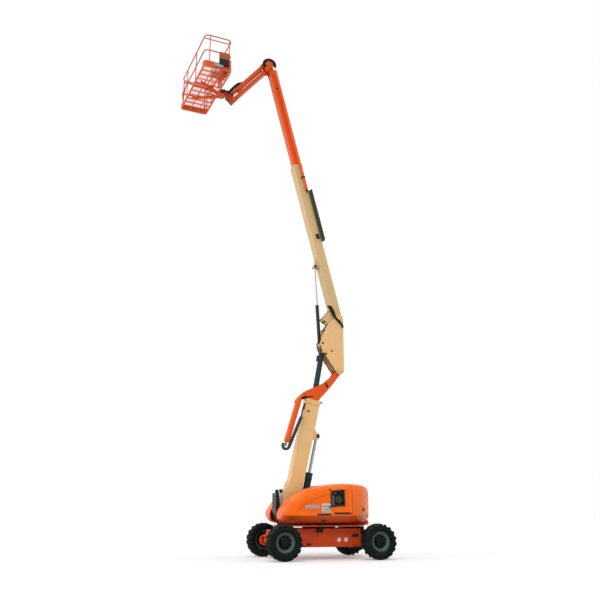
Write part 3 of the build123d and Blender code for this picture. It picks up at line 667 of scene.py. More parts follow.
recessOutline = [
    (0.88, 1.165), (0.80, 1.265), (0.62, 1.385), (0.40, 1.475), (0.15, 1.555), (-0.08, 1.615),
    (-0.36, 1.665), (-0.43, 1.62), (-0.44, 1.13), (-0.38, 1.085), (0.70, 1.085), (0.84, 1.11),
]
windowCorners = [(0.035, 1.615), (-0.275, 1.645), (-0.29, 1.295), (0.04, 1.28)]


# A cover's section as (y, z), from the inner top edge round to the inner bottom edge.
def sectionOf(top, side, skirt, under):
    inner = hoodLook["inner"]
    room, rise, drop = side - inner, top - skirt, skirt - under
    return [
        (inner, top), (inner + room * 0.35, top), (inner + room * 0.70, top - 0.008),
        (side - min(0.085, room * 0.25), top - 0.032), (side - min(0.024, room * 0.08), top - rise * 0.17),
        (side, top - rise * 0.38), (side, skirt + rise * 0.22), (side - 0.012, skirt),
        (side - min(0.17, room * 0.35), skirt - drop * 0.72), (side - min(0.33, room * 0.6), under),
        (inner, under),
    ]


# How far a point lies inside an outline, or outside it when negative.
def edgeDistance(x, z, outline):
    inside, nearest = False, 9.0
    for (x0, z0), (x1, z1) in zip(outline, outline[1:] + outline[:1]):
        if (z0 > z) != (z1 > z) and x < (x1 - x0) * (z - z0) / (z1 - z0) + x0:
            inside = not inside
        share = ((x - x0) * (x1 - x0) + (z - z0) * (z1 - z0)) / ((x1 - x0) ** 2 + (z1 - z0) ** 2)
        share = max(0.0, min(1.0, share))
        nearest = min(nearest, math.hypot(x - x0 - share * (x1 - x0), z - z0 - share * (z1 - z0)))
    return nearest if inside else -nearest


def smoothMesh(mesh, levels):
    draft = objectOf(mesh, "draft")
    draft.modifiers.new("smooth", "SUBSURF").levels = levels
    bpy.context.view_layer.update()
    smooth = bmesh.new()
    smooth.from_mesh(draft.evaluated_get(bpy.context.evaluated_depsgraph_get()).to_mesh())
    bpy.data.meshes.remove(draft.data)
    return smooth


# Lofts the stations; an open shell for a hood, a closed body for the tail.
def loftStations(stations, hand, closed):
    mesh = bmesh.new()
    crease = mesh.edges.layers.float.new("crease_edge")
    rings = [
        [mesh.verts.new((x, hand * y, z)) for y, z in sectionOf(top, side, skirt, under)]
        for x, top, side, skirt, under in stations
    ]
    count = len(rings[0])
    for a, b in zip(rings, rings[1:]):
        for k in range(count if closed else count - 1):
            mesh.faces.new((a[k], a[(k + 1) % count], b[(k + 1) % count], b[k]))
    mesh.faces.new(rings[-1])
    if closed:
        mesh.faces.new(rings[0])
    sharp = {vert for ring in rings for vert in (ring[0], ring[10])} | set(rings[0])
    skirts = {ring[7] for ring in rings[:-2]}
    for edge in mesh.edges:
        if set(edge.verts) <= sharp:
            edge[crease] = 1.0
        elif set(edge.verts) <= skirts:
            edge[crease] = 0.75
    return smoothMesh(mesh, 3)


def makeHood(name, hand, window):
    mesh = loftStations(hoodStations, hand, False)
    for vert in mesh.verts:
        if abs(vert.co.y) > 0.95:
            depth = edgeDistance(vert.co.x, vert.co.z, recessOutline)
            share = max(0.0, min(1.0, depth / hoodLook["recessEdge"] + 0.3))
            vert.co.y -= hand * hoodLook["recess"] * share * share * (3 - 2 * share)
    if window:
        middles = [(face, face.calc_center_median()) for face in mesh.faces]
        middles = [(face, mid) for face, mid in middles if abs(mid.y) > 1]
        gone = [face for face, mid in middles if edgeDistance(mid.x, mid.z, windowCorners) > 0]
        bmesh.ops.delete(mesh, geom=gone, context="FACES")
    hood = finishPiece(mesh, name + "_shell", name, "orangePaint", 0, 40, name)
    wall = hood.modifiers.new("wall", "SOLIDIFY")
    wall.thickness, wall.offset = hoodLook["wall"], -1


def makeTail():
    for side, hand in hands.items():
        mesh = loftStations(tailStations, hand, True)
        finishPiece(mesh, "tail_" + side, "turntable", "orangePaint", 0, 40, "counterweight")
    bridge = bmesh.new()
    outline = [(-1.15, 0.816), (-1.235, 0.816), (-1.245, 0.86), (-1.225, 0.93), (-1.15, 0.93)]
    addPlate(bridge, ground, outline, -0.36, 0.36)
    addBlocks(bridge, ground, (-1.15, -1.06, -0.36, 0.36, 0.816, 0.84))
    finishPiece(bridge, "tail_bridge", "turntable", "orangePaint", 0.02, 35, "counterweight")


def makeWindow():
    border, hinges, dial, switches = newMeshes(4)
    midX, midZ = (sum(corner[k] for corner in windowCorners) / 4 for k in (0, 1))
    inner, outer = ([(midX + (x - midX) * k, midZ + (z - midZ) * k) for x, z in windowCorners]
                    for k in (0.90, 1.14))
    for outline in zip(inner, inner[1:] + inner[:1], outer[1:] + outer[:1], outer):
        addPlate(border, ground, outline, 1.118, 1.158)
    addBlocks(hinges, ground, *((0.065, 0.10, 1.10, 1.16, z - 0.02, z + 0.02) for z in (1.235, 1.66)))
    addStuds(dial, ground, [(-0.17, 1.087, 1.43)], (0, 1, 0), [
        (0.094, -0.02), (0.094, 0.006), (0.084, 0.010), (0.076, 0.004), (0.030, 0.004), (0.026, 0.014),
        (0, 0.014)], 36)
    spots = [(x, 1.06, z) for x in (-0.25, -0.09, -0.01) for z in (1.24, 1.58, 1.64)]
    addStuds(switches, ground, spots, (0, 1, 0), [(0.016, 0), (0.016, 0.01), (0.011, 0.018), (0, 0.018)], 16)
    for z in (1.30, 1.36, 1.43, 1.50):
        addRod(switches, (-0.03, 1.06, z), (-0.035, 1.10, z + 0.01), 0.006, 10, 0.002)
        addBlocks(switches, ground, (-0.055, 0.01, 1.058, 1.064, z - 0.022, z + 0.022))
    finishPiece(border, "window_frame", "hood_left", "guardPaint", 0.004)
    finishPiece(hinges, "window_hinges", "hood_left", "guardPaint", 0.003)
    finishPiece(dial, "ground_dial", "turntable", "carrierPlastic")
    finishPiece(switches, "ground_switches", "turntable", "greyVinyl", 0.001)


makeHood("hood_left", 1, True)
makeHood("hood_right", -1, False)
makeTail()
makeWindow()
print("hoods done")


# ---- turntable
def makeDeckTrim():
    bolts, edges = newMeshes(2)
    addBolts(bolts, ground, [(x, y, 0.815) for x, y in ringOf(0.405, 28)], (0, 0, 1))
    spots = [(x, y, 0.815) for x in (-0.8, -0.5, -0.2, 0.1, 0.4, 0.7) for y in (-0.90, 0.90)]
    addBolts(bolts, ground, spots, (0, 0, 1), 0.010)
    addBlocks(edges, ground, *((-1.05, 0.70, hand * 0.322, hand * 0.334, 1.035, 1.06) for hand in both))
    finishPiece(bolts, "deck_bolts", "turntable", "zincSteel")
    finishPiece(edges, "deck_edges", "turntable", "chassisPaint", 0.002)


def makeEngine():  # under the right hood
    engine, cooler = newMeshes(2)
    addBlocks(engine, ground, (-0.36, 0.30, -0.72, -0.46, 1.515, 1.60))
    for x in (-0.30, -0.15, 0.0, 0.15):
        addBlocks(engine, ground, (x, x + 0.09, -0.70, -0.48, 1.595, 1.625))
        addRod(engine, (x + 0.045, -0.80, 1.40), (x + 0.045, -0.86, 1.44), 0.028, 16, 0.004)
    for x0, x1, y, z, radius, sides, edge in (
        (0.52, 0.60, -0.60, 1.10, 0.16, 40, 0.01), (0.52, 0.585, -0.72, 1.34, 0.07, 28, 0.006),
        (0.52, 0.585, -0.46, 1.36, 0.05, 28, 0.006), (-0.10, 0.12, -0.86, 1.02, 0.055, 24, 0.006),
    ):
        addRod(engine, (x0, y, z), (x1, y, z), radius, sides, edge)
    addStuds(engine, ground, [(-0.42, -0.90, 1.22)], (1, 0, 0),
             [(0.06, 0), (0.085, 0.02), (0.085, 0.48), (0.06, 0.50), (0.03, 0.51), (0.03, 0.60)], 28)
    for y, z in ((-0.90, 1.08), (-0.44, 1.20)):
        addRod(cooler, (-0.46, y, z), (-0.62, -0.62, z), 0.012, 10)
    addStuds(cooler, ground, [(-0.70, -0.60, 1.20)], (1, 0, 0),
             [(0.21, 0), (0.23, 0.02), (0.23, 0.05), (0.21, 0.07)], 40)
    addBlocks(cooler, ground, (-0.74, -0.70, -0.84, -0.36, 0.94, 1.46))
    finishPiece(engine, "engine_parts", "turntable", "darkSteel", 0.004)
    finishPiece(cooler, "engine_cooler", "turntable", "blackPlastic", 0.004)


def makeGuardTrim():  # over the tower's foot
    bolts, fittings = newMeshes(2)
    addBolts(bolts, ground, [(1.20, y, z) for y in (-0.12, 0.12) for z in (1.25, 1.52)], (1, 0, 0), 0.011)
    addBlocks(fittings, ground, *((1.196, 1.204, -0.09, 0.09, z, z + 0.022) for z in (1.30, 1.36, 1.42)))
    for hand in both:
        addBolts(bolts, ground, [(1.135, hand * 0.185, z) for z in (1.55, 1.24)], (0, hand, 0), 0.011)
        addBlocks(fittings, ground, (1.03, 1.12, hand * 0.186, hand * 0.20, 1.60, 1.69))
        addRod(fittings, (1.075, hand * 0.19, 1.645), (1.075, hand * 0.235, 1.645), 0.026, 20, 0.004)
    finishPiece(bolts, "guard_bolts", "turntable", "darkSteel")
    finishPiece(fittings, "guard_fittings", "tower_base", "blackPlastic", 0.003)


# A pin's end on both sides of a joint: washer plate, head, and a keeper bar with its bolt.
def addPinEnds(mesh, x, z, half, radius, keeper=None):
    profile = [(1.35, 0), (1.35, 0.010), (1, 0.012), (1, 0.022), (0.82, 0.028), (0.3, 0.028), (0.25, 0.022),
               (0, 0.022)]
    for hand in both:
        start = Vector((x, hand * (half - 0.004), z))
        scaled = [(radius * share, along) for share, along in profile]
        addStuds(mesh, ground, [start], (0, hand, 0), scaled, 28)
        if keeper:
            turn = Matrix.Translation(start) @ Matrix.Rotation(-math.atan2(keeper[1], keeper[0]), 4, "Y")
            length = math.hypot(*keeper) + 0.02
            addBlocks(mesh, turn, (radius * 0.4, length, 0, hand * 0.014, -radius * 0.35, radius * 0.35))
            tip = start + Vector((keeper[0], hand * 0.014, keeper[1]))
            addBolts(mesh, ground, [tip], (0, hand, 0), 0.011)


pins = {  # by body: name, finish, then x, z, half width, radius and the keeper's reach
    "turntable": ("pins_turntable", "darkSteel", (0.84, 1.30, 0.217, 0.040, (0.07, 0.05)),
                  (0.50, 0.94, 0.124, 0.034)),
    "tower_base": ("pins_tower", "darkSteel", (0.05, 3.06, 0.119, 0.034, (-0.02, 0.05))),
    "upright": ("pins_upright", "towerPaint", (-0.57, 4.84, 0.212, 0.040, (0.075, 0.02)),
                (-0.56, 6.31, 0.212, 0.040, (0.02, -0.085)), (-0.12, 5.36, 0.195, 0.026),
                (-0.06, 5.54, 0.083, 0.03)),
    "main_boom_base": ("pins_boom", "darkSteel", (0.07, 7.84, 0.084, 0.030)),
    "level_bracket": ("pins_bracket", "orangePaint", (1.58, 13.98, 0.150, 0.032),
                      (1.58, 14.245, 0.150, 0.032)),
}


def makePins():
    for body, (name, look, *rows) in pins.items():
        mesh = bmesh.new()
        for row in rows:
            addPinEnds(mesh, *row)
        finishPiece(mesh, name, body, look, 0.001)


makeDeckTrim()
makeEngine()
makeGuardTrim()
makePins()
print("turntable and pins done")

# ---- tower
towerLook = dict(half=0.150, low=-0.1105, high=0.2545, seam=0.005, collar=(2.672, 2.798), thick=0.014)
holeProfile = [(0.030, 0), (0.030, 0.004), (0.022, 0.006), (0.018, 0.002), (0, 0.002)]


# Thin weld beads along a box section's four corners.
def addSeams(mesh, place, start, end, half, low, high, radius):
    for y in (-half * 0.985, half * 0.985):
        for z in (low, high):
            addRod(mesh, place @ Vector((start, y, z)), place @ Vector((end, y, z)), radius, 8)


# A row of hoses side by side, each moved across by its own step.
def addHoses(name, body, steps, points, radius=0.011, place=ground):
    for k, step in enumerate(steps):
        route = [(x, y + step, z) for x, y, z in points]
        addHose("%s_%d" % (name, k), body, route, radius, "hoseRubber", place)


def makeTowerTrim():
    half, low, high, thick = (towerLook[key] for key in ("half", "low", "high", "thick"))
    start, end = towerLook["collar"]
    seams, collar, bolts, holes, switch = newMeshes(5)
    addSeams(seams, towerPlace, 0.62, 2.66, half, low, high, towerLook["seam"])
    addBlocks(collar, towerPlace, (start, end, -half, half, low - thick, low),
              (start, end, -half, half, high, high + thick))
    screws = [start + (end - start) * share for share in (0.25, 0.75)]
    spots = [(s, y, high + thick) for s in screws for y in (-0.08, 0.08)]
    addBolts(bolts, towerPlace, spots, (0, 0, 1), 0.011)
    for hand in both:
        y, out = hand * half, (0, hand, 0)
        outline = [(0.62, -0.112), (0.66, -0.112), (0.62, 0.252), (0.58, 0.252)]
        addPlate(seams, towerPlace, outline, y, hand * 0.168)
        outline = [(2.18, -0.02), (2.34, -0.02), (2.40, 0.10), (2.34, 0.22), (2.02, 0.22), (1.98, 0.10)]
        addPlate(seams, towerPlace, outline, y, hand * 0.156)
        side = hand * (half + thick)
        addBlocks(collar, towerPlace, (start, end, y, side, low - thick, high + thick))
        addBolts(bolts, towerPlace, [(s, side, h) for s in screws for h in (-0.00625, 0.15025)], out, 0.011)
        addBolts(bolts, towerPlace, [(s, y, h) for s in (0.75, 1.25) for h in (0.17, -0.03)], out, 0.010)
        # a black disc where the tower has a hole: painted shade inside it
        addStuds(holes, towerPlace, [(2.469, y, -0.010)], out, holeProfile)
    addStuds(switch, towerPlace, [(2.78, 0.13, 0.268)], (0, 0, 1),
             [(0.034, -0.012), (0.034, 0.03), (0.026, 0.045), (0.012, 0.05), (0.012, 0.07), (0, 0.07)])
    finishPiece(seams, "tower_seams", "tower_base", "towerPaint")
    finishPiece(collar, "tower_collar", "tower_base", "towerPaint", 0.003)
    finishPiece(bolts, "tower_bolts", "tower_base", "towerPaint")
    finishPiece(holes, "tower_hole_shade", "tower_base", "blackPlastic")
    finishPiece(switch, "tower_switch", "tower_base", "greyVinyl", 0.001)


def makeNoseTrim():
    doublers, bolts, cutouts, bands = newMeshes(4)
    upper = [(-0.02, 4.16), (0.10, 4.20), (0.34, 4.14), (0.55, 4.02), (0.56, 3.98), (0.44, 4.10),
             (0.30, 4.10), (0.12, 4.12)]
    lower = [(-0.56, 4.80), (-0.40, 4.56), (-0.16, 4.36), (-0.10, 4.40), (-0.33, 4.60), (-0.50, 4.86)]
    for hand in both:
        y, out = hand * 0.119, (0, hand, 0)
        for outline in (upper, lower):
            addPlate(doublers, ground, outline, y, hand * 0.127)
        spots = [(x, y, z) for x, z in ((0.02, 4.16), (0.24, 4.14), (-0.10, 4.30), (0.40, 4.15),
                                        (0.52, 4.03))]
        addBolts(bolts, ground, spots, out)
        # a black sheet over the plate's pocket: painted shade
        outline = [(-0.150, 4.485), (-0.200, 4.505), (-0.270, 4.395), (-0.225, 4.360)]
        addPlate(cutouts, ground, outline, y, hand * 0.1285)
        ring = [(0.080, 0), (0.080, 0.012), (0.044, 0.012)]
        addStuds(doublers, ground, [(-0.57, y, 4.84)], out, ring, 32, False)
    # clamps on the push tube along the tower's front
    top, down = Vector((0.60, 0.20, 3.99)), Vector((0.289, 0, -0.957)).normalized()
    addStuds(bands, ground, [top + down * run for run in (0.12, 0.44, 0.76, 1.09)], down,
             [(0.0765, 0), (0.081, 0.003), (0.081, 0.027), (0.0765, 0.03)], 28)
    finishPiece(doublers, "nose_doublers", "tower_fly", "shadedOrangePaint", 0.002)
    finishPiece(bolts, "nose_bolts", "tower_fly", "bracketPaint")
    finishPiece(cutouts, "nose_pocket_shade", "tower_fly", "blackPlastic")
    finishPiece(bands, "push_tube_bands", "tower_fly", "shadedOrangePaint", 0.001)


def makeTowerHoses():  # from the tube's end into the carrier, and on up the tower
    steps = (-0.032, 0.0, 0.032)
    addHoses("tower_hose", "tower_fly", steps,
             [(0.936, 0.20, 2.91), (0.945, 0.20, 2.86), (0.952, 0.20, 2.81), (0.96, 0.20, 2.775)])
    addHoses("tower_riser", "tower_base", steps, [
        (0.545, 0.20, 3.50), (0.530, 0.20, 3.56), (0.512, 0.20, 3.64), (0.492, 0.195, 3.74),
        (0.455, 0.18, 3.84), (0.42, 0.165, 3.90)], 0.010)


makeTowerTrim()
makeNoseTrim()
makeTowerHoses()
print("tower done")

# ---- cylinders: start pin, end eye, barrel length, barrel radius, rod radius
cylinders = {
    "tower_lift": ((0.50, 0.94), (0.05, 3.06), 1.200, 0.090, 0.040),
    "level": ((-0.12, 5.36), (0.255, 3.294), 1.050, 0.074, 0.034),
    "main_lift": ((-0.06, 5.54), (0.07, 7.84), 1.170, 0.048, 0.024),
    "jib_lift": ((1.58, 14.245), None, 0.760, 0.034, 0.018),
}


def makeCylinderTrim(name, start, end, barrel, bore, rod):
    start = Vector((start[0], 0, start[1]))
    place = beamPlace(start, Vector((end[0], 0, end[1])) - start if end else lineOf("jib_lift_stroke"))
    size = bore / 0.074
    mesh = bmesh.new()
    band = [(bore, 0), (bore * 1.10, 0.004), (bore * 1.10, 0.034 * size), (bore, 0.038 * size)]
    gland = [(bore * 1.02, -0.034), (bore * 1.02, -0.006), (bore * 0.94, 0.001), (rod * 1.12, 0.003),
             (rod * 1.06, 0.003)]
    addStuds(mesh, place, [(barrel * 0.10, 0, 0), (barrel * 0.86, 0, 0)], (1, 0, 0), band, 32, False)
    addStuds(mesh, place, [(barrel, 0, 0)], (1, 0, 0), gland, 32, False)
    if name == "level":  # it folds in between the nose plates, so its ports sit at its top
        addBlocks(mesh, place, (0.11, 0.27, -0.030, 0.030, 0.055, 0.118))
    else:
        reach, port = 0.035 * size, 0.030 * size
        for s in (barrel * 0.16, barrel * 0.90):
            addBlocks(mesh, place, (s - reach, s + reach, bore * 0.75, bore + port, -port, port))
            nut = [(0.014 * size, 0), (0.014 * size, 0.022 * size)]
            addStuds(mesh, place, [(s, bore + 0.028 * size, 0)], (0, 1, 0), nut, 6)
        y, near = bore + 0.018 * size, bore + 0.012
        addHose(name + "_line", name + "_barrel", [(barrel * share, y, z) for share, y, z in (
            (0.16, y, 0), (0.22, y + 0.012, 0), (0.30, near, 0.012), (0.50, bore + 0.010, 0.012),
            (0.76, near, 0.012), (0.84, y + 0.012, 0),
            (0.90, y, 0))], 0.007 * size ** 0.5, "cylinderPaint", place)
    finishPiece(mesh, name + "_ports", name + "_barrel", "cylinderPaint", 0.0015)


for name, row in cylinders.items():
    makeCylinderTrim(name, *row)
print("cylinders done")

# ---- carriers: side plates and pins on every link, end brackets
carriers = {  # place, run start, end, height, y, half width, band, links
    "tower_carrier": (beamPlace((0.87, 0, 2.75), (-0.391, 0, 0.92)), 0, 0.869, 0, 0.20, 0.045, 0.031, 14),
    "main_carrier": (boomPlace, 2.35, 3.90, 0.184, 0.212, 0.030, 0.022, 24),
}


def makeCarrierTrim(name, place, start, end, high, y, half, band, count):
    plates, pegs = newMeshes(2)
    pitch = (end - start) / count
    for k in range(count):
        s = start + pitch * (k + 0.5)
        for hand in both:
            side = y + hand * (half + 0.0045)
            addBlocks(plates, place, (s - pitch * 0.34, s + pitch * 0.34, side, side + hand * 0.003,
                                      high - band * 0.72, high + band * 0.72))
        addStuds(pegs, place, [(s + pitch * 0.5, y + half + 0.003, high)], (0, 1, 0),
                 [(0.010, 0), (0.010, 0.004), (0.006, 0.006), (0, 0.006)], 12)
    reach, top = half + 0.004, high + band
    addBlocks(pegs, place, (end - 0.054, end + 0.006, y - reach, y + reach, top, top + 0.004))
    finishPiece(plates, name + "_plates", name, "carrierPlastic", 0.001)
    finishPiece(pegs, name + "_pins", name, "darkSteel")


for name, row in carriers.items():
    makeCarrierTrim(name, *row)
for k in range(6):  # the run's hoses, on from the links to the tube's end
    y, h = 0.193 + 0.019 * (k // 2), 0.115 + 0.024 * (k % 2)
    points = [(s, y, h) for s in (3.33, 3.45, 3.60, 3.75, 3.88)]
    addHose("main_carrier_hose_%d" % k, "main_carrier", points, 0.0115, "carrierPlastic", boomPlace)
print("carriers done")


# ---- upright
def makeUprightTrim():
    holes, bolts, flanges, edges, pad = newMeshes(5)
    for hand in both:
        y, out = hand * 0.195, (0, hand, 0)
        # black discs where the upright has holes: painted shade inside them
        for x, z, radius in ((-0.09, 5.59, 0.024), (-0.35, 5.38, 0.020), (-0.18, 5.29, 0.024)):
            rim = radius * 1.25
            hole = [(rim, 0), (rim, 0.003), (radius, 0.004), (radius * 0.85, 0.001), (0, 0.001)]
            addStuds(holes, ground, [(x, y, z)], out, hole)
        spots = [(x, y, z) for x, z in ((-0.62, 5.16), (-0.62, 5.50), (-0.62, 5.84), (-0.40, 5.95),
                                        (-0.30, 5.75))]
        addStuds(edges, ground, spots, out, [(0.016, 0), (0.014, 0.003), (0, 0.0035)], 16)
        # the first two outlines fill the recess between the upright's plates in dark olive: painted shade
        for mesh, outline, y0, y1 in (
            (flanges, [(-0.476, 4.792), (-0.083, 5.372), (-0.094, 5.380), (-0.487, 4.800)], 0.130, 0.192),
            (flanges, [(-0.085, 5.38), (-0.024, 5.53), (-0.032, 5.535), (-0.094, 5.387)], 0.120, 0.1805),
            (edges, [(-0.694, 4.86), (-0.686, 4.86), (-0.686, 6.26), (-0.694, 6.26)], 0.175, 0.198),
        ):
            addPlate(mesh, ground, outline, hand * y0, hand * y1)
        spots = [(x, y, z) for x, z in ((-0.13, 5.30), (-0.25, 5.12), (-0.38, 4.94))]
        addBolts(bolts, ground, spots, out, 0.009)
    outline = [(0.120, -0.452), (0.000, -0.372), (0.012, -0.348), (0.136, -0.428)]  # under the boom's heel
    addPlate(pad, boomPlace, outline, -0.155, 0.155)
    finishPiece(holes, "upright_hole_shade", "upright", "blackPlastic")
    finishPiece(bolts, "upright_bolts", "upright", "darkSteel")
    finishPiece(flanges, "upright_flange_shade", "upright", "flangeRecessShade", 0.001)
    finishPiece(edges, "upright_edges", "upright", "towerPaint", 0.002)
    finishPiece(pad, "heel_pad", "main_boom_base", "padRubber", 0.006)
    addHoses("upright_hose", "upright", (-0.03, 0.0, 0.03), [  # from the level cylinder into the upright
        (-0.15, 0.05, 5.52), (-0.06, 0.09, 5.66), (0.0, 0.115, 5.78), (-0.03, 0.12, 5.90),
        (-0.12, 0.10, 5.98), (-0.24, 0.06, 6.0)])


# A hose over a joint: the tube is meshed, and the mesh is left in place on neither body.
def addJointHose(name, points, radius, bodies):
    hose = addHose(name, bodies[0], points, radius)
    curve = hose.data
    curve.resolution_u = 14
    bpy.context.view_layer.update()
    data = bpy.data.meshes.new_from_object(hose.evaluated_get(bpy.context.evaluated_depsgraph_get()))
    bpy.data.objects.remove(hose)
    bpy.data.curves.remove(curve)
    data.polygons.foreach_set("use_smooth", [True] * len(data.polygons))
    piece = addObject(name, data)
    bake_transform(piece)


def makeShoulderHoses():
    for k in range(3):
        d = 0.042 * k
        addJointHose("shoulder_hose_%d" % k, [
            (-0.672 + d * 0.2, 0.225, 6.06), (-0.674 + d * 0.3, 0.226, 6.14),
            (-0.62 + d * 0.5, 0.230, 6.165 + d), (-0.52 + d, 0.230, 6.24 + d),
            (-0.455 + d, 0.228, 6.36 + d * 0.8), (-0.41 + d, 0.224, 6.50 + d * 0.4),
            (-0.365 + d, 0.205, 6.60), (-0.34 + d, 0.172, 6.67),
        ], 0.022, ("upright", "main_boom_base"))


makeUprightTrim()
makeShoulderHoses()
print("upright done")

# ---- main boom; the push tube runs beside it
boomLook = dict(half=0.165, height=0.12, tube=(0.209, 0.056))


def makeBoomTrim():
    half, height, tube = (boomLook[key] for key in ("half", "height", "tube"))
    seams, collar, bolts, guides, anchor = newMeshes(5)
    addSeams(seams, boomPlace, 0.44, 4.60, half, -height, height, 0.004)
    addSeams(seams, boomPlace, 0.44, 4.60, half, -height * 0.80, -height * 0.80, 0.003)
    addBlocks(collar, boomPlace, (4.63, 4.76, -0.177, -half, -height, height),
              (4.63, 4.76, half, 0.1695, -height, 0),
              (4.70, 4.76, -half, half, -0.126, -height), (4.63, 4.76, -half, half, height, 0.132))
    addPlate(collar, boomPlace, [(1.10, -0.118), (2.30, -0.118), (2.20, -0.06), (1.25, -0.06)], half, 0.1685)
    ends = (4.66, 4.73)
    addBolts(bolts, boomPlace, [(s, -0.177, h) for s in ends for h in (-0.07, 0.05)], (0, -1, 0), 0.011)
    addBolts(bolts, boomPlace, [(s, 0.1695, -0.06) for s in ends], (0, 1, 0), 0.010)
    for k, h in ((1, 0.132), (-1, -0.122)):
        addBolts(bolts, boomPlace, [(s, y, h) for s in ends for y in (-0.10, 0.0, 0.10)], (0, 0, k), 0.009)
        spots = [(s, k * half, h) for s in (0.0, 0.16, 0.32) for h in (-0.085, 0.085)]
        addBolts(bolts, boomPlace, spots, (0, k, 0), 0.008)
    addStuds(guides, boomPlace, [(4.30, *tube)], (1, 0, 0),
             [(0.0425, 0), (0.054, 0), (0.054, 0.034), (0.0425, 0.034), (0.0425, 0)], 32, False)
    addBlocks(guides, boomPlace, (4.30, 4.334, half, 0.215, 0.108, 0.116),
              (4.30, 4.334, half, 0.215, -0.008, 0.002),
              (2.40, 2.56, half, 0.171, -0.02, 0.09))
    addBlocks(anchor, boomPlace, (2.36, 2.42, half, 0.172, -0.030, 0.006))
    finishPiece(seams, "boom_seams", "main_boom_base", "shadedBoomPaint")
    finishPiece(collar, "boom_collar", "main_boom_base", "shadedBoomPaint", 0.002)
    finishPiece(bolts, "boom_bolts", "main_boom_base", "shadedBoomPaint")
    finishPiece(guides, "tube_guides", "main_boom_base", "darkSteel", 0.001)
    finishPiece(anchor, "carrier_anchor", "main_boom_base", "zincSteel", 0.001)


def makeFlyTrim():
    seams, bolts, holes, clamp = newMeshes(4)
    y0, z0 = boomLook["tube"]
    addSeams(seams, boomPlace, 4.0, 7.62, 0.12, -0.09, 0.09, 0.003)
    for hand in both:
        y, out = hand * 0.120, (0, hand, 0)
        # black discs where the fly has holes: painted shade inside them
        addStuds(holes, boomPlace, [(7.291, y, 0.006)], out,
                 [(0.030, 0), (0.030, 0.002), (0.024, 0.003), (0.022, 0.0005), (0, 0.0005)])
        addBolts(bolts, boomPlace, [(s, y, -0.045) for s in (7.70, 7.80, 7.90)], out, 0.009)
    addStuds(holes, boomPlace, [(3.905, y0, z0)], (1, 0, 0),
             [(0, 0), (0.030, 0), (0.0375, 0.004), (0.0375, 0.02)])
    for y, z in ((y0, z0 + 0.012), (y0 + 0.012, z0 - 0.008), (y0 - 0.012, z0 - 0.008)):
        addRod(holes, boomPlace @ Vector((3.91, y, z)), boomPlace @ Vector((3.86, y, z)), 0.009, 10)
    addStuds(clamp, boomPlace, [(3.915, y0, z0)], (1, 0, 0),
             [(0.0375, 0), (0.0405, 0.002), (0.0405, 0.06), (0.0375, 0.062)], 32)
    finishPiece(seams, "fly_seams", "main_fly", "shadedOrangePaint")
    finishPiece(bolts, "fly_bolts", "main_fly", "darkSteel")
    finishPiece(holes, "fly_holes", "main_fly", "blackPlastic")
    finishPiece(clamp, "tube_clamp", "main_fly", "redLens")


makeBoomTrim()
makeFlyTrim()
print("main boom done")

# ---- jib: covers over the root's pins, hoses over its top
jibLook = dict(root=(1.52, 14.115), drive=2.93, hose=0.0145)
coverProfile = [(0.119, 0), (0.122, 0.004), (0.122, 0.014), (0.112, 0.022), (0.05, 0.027), (0.046, 0.022),
                (0, 0.022)]
driveProfile = [
    (0.095, 0), (0.098, 0.004), (0.098, 0.022), (0.084, 0.026), (0.084, 0.10), (0.095, 0.104),
    (0.095, 0.124), (0.06, 0.132), (0, 0.132),
]


def makeJibTrim():
    covers, seams, lips, bolts, bosses, drive = newMeshes(6)
    addSeams(seams, jibPlace, 0.14, 1.36, 0.058, -0.055, 0.055, 0.003)
    for hand in both:
        out = (0, hand, 0)
        addStuds(covers, ground, [(1.52, hand * 0.144, 14.12)], out, coverProfile, 48)
        addBlocks(lips, linkPlace, (0.26, 1.34, hand * 0.067, hand * 0.075, -0.068, -0.034))
        spots = [(s, hand * 0.058, h) for s, h in ((1.42, -0.035), (1.42, 0.03), (1.56, -0.04))]
        addBolts(bolts, jibPlace, spots, out, 0.008)
        spots = [(s, hand * 0.076, h) for s in (0.17, 1.46) for h in (-0.02, 0.02)]
        addBolts(bolts, linkPlace, spots, out, 0.008)
        addStuds(bosses, linkPlace, [(s, hand * 0.0765, 0) for s in (0, jibLine.length)], out,
                 [(0.030, 0), (0.030, 0.003), (0.012, 0.004), (0, 0.004)])
    x0 = jibLook["drive"]
    addStuds(drive, ground, [(x0, 0, 12.918)], (0, 0, 1), driveProfile, 40)
    addBolts(drive, ground, [(x0 + x, y, 13.042) for x, y in ringOf(0.089, 10)], (0, 0, 1), 0.007)
    finishPiece(covers, "root_covers", "level_bracket", "jibPaint")
    finishPiece(lips, "link_lips", "jib_link", "jibPaint", 0.002)
    finishPiece(seams, "jib_seams", "jib_beam", "jibPaint")
    finishPiece(bolts, "jib_bolts", "jib_beam", "darkSteel")
    finishPiece(bosses, "link_bosses", "jib_link", "darkSteel")
    finishPiece(drive, "rotary_drive", "platform_bracket", "guardPaint", 0.001)


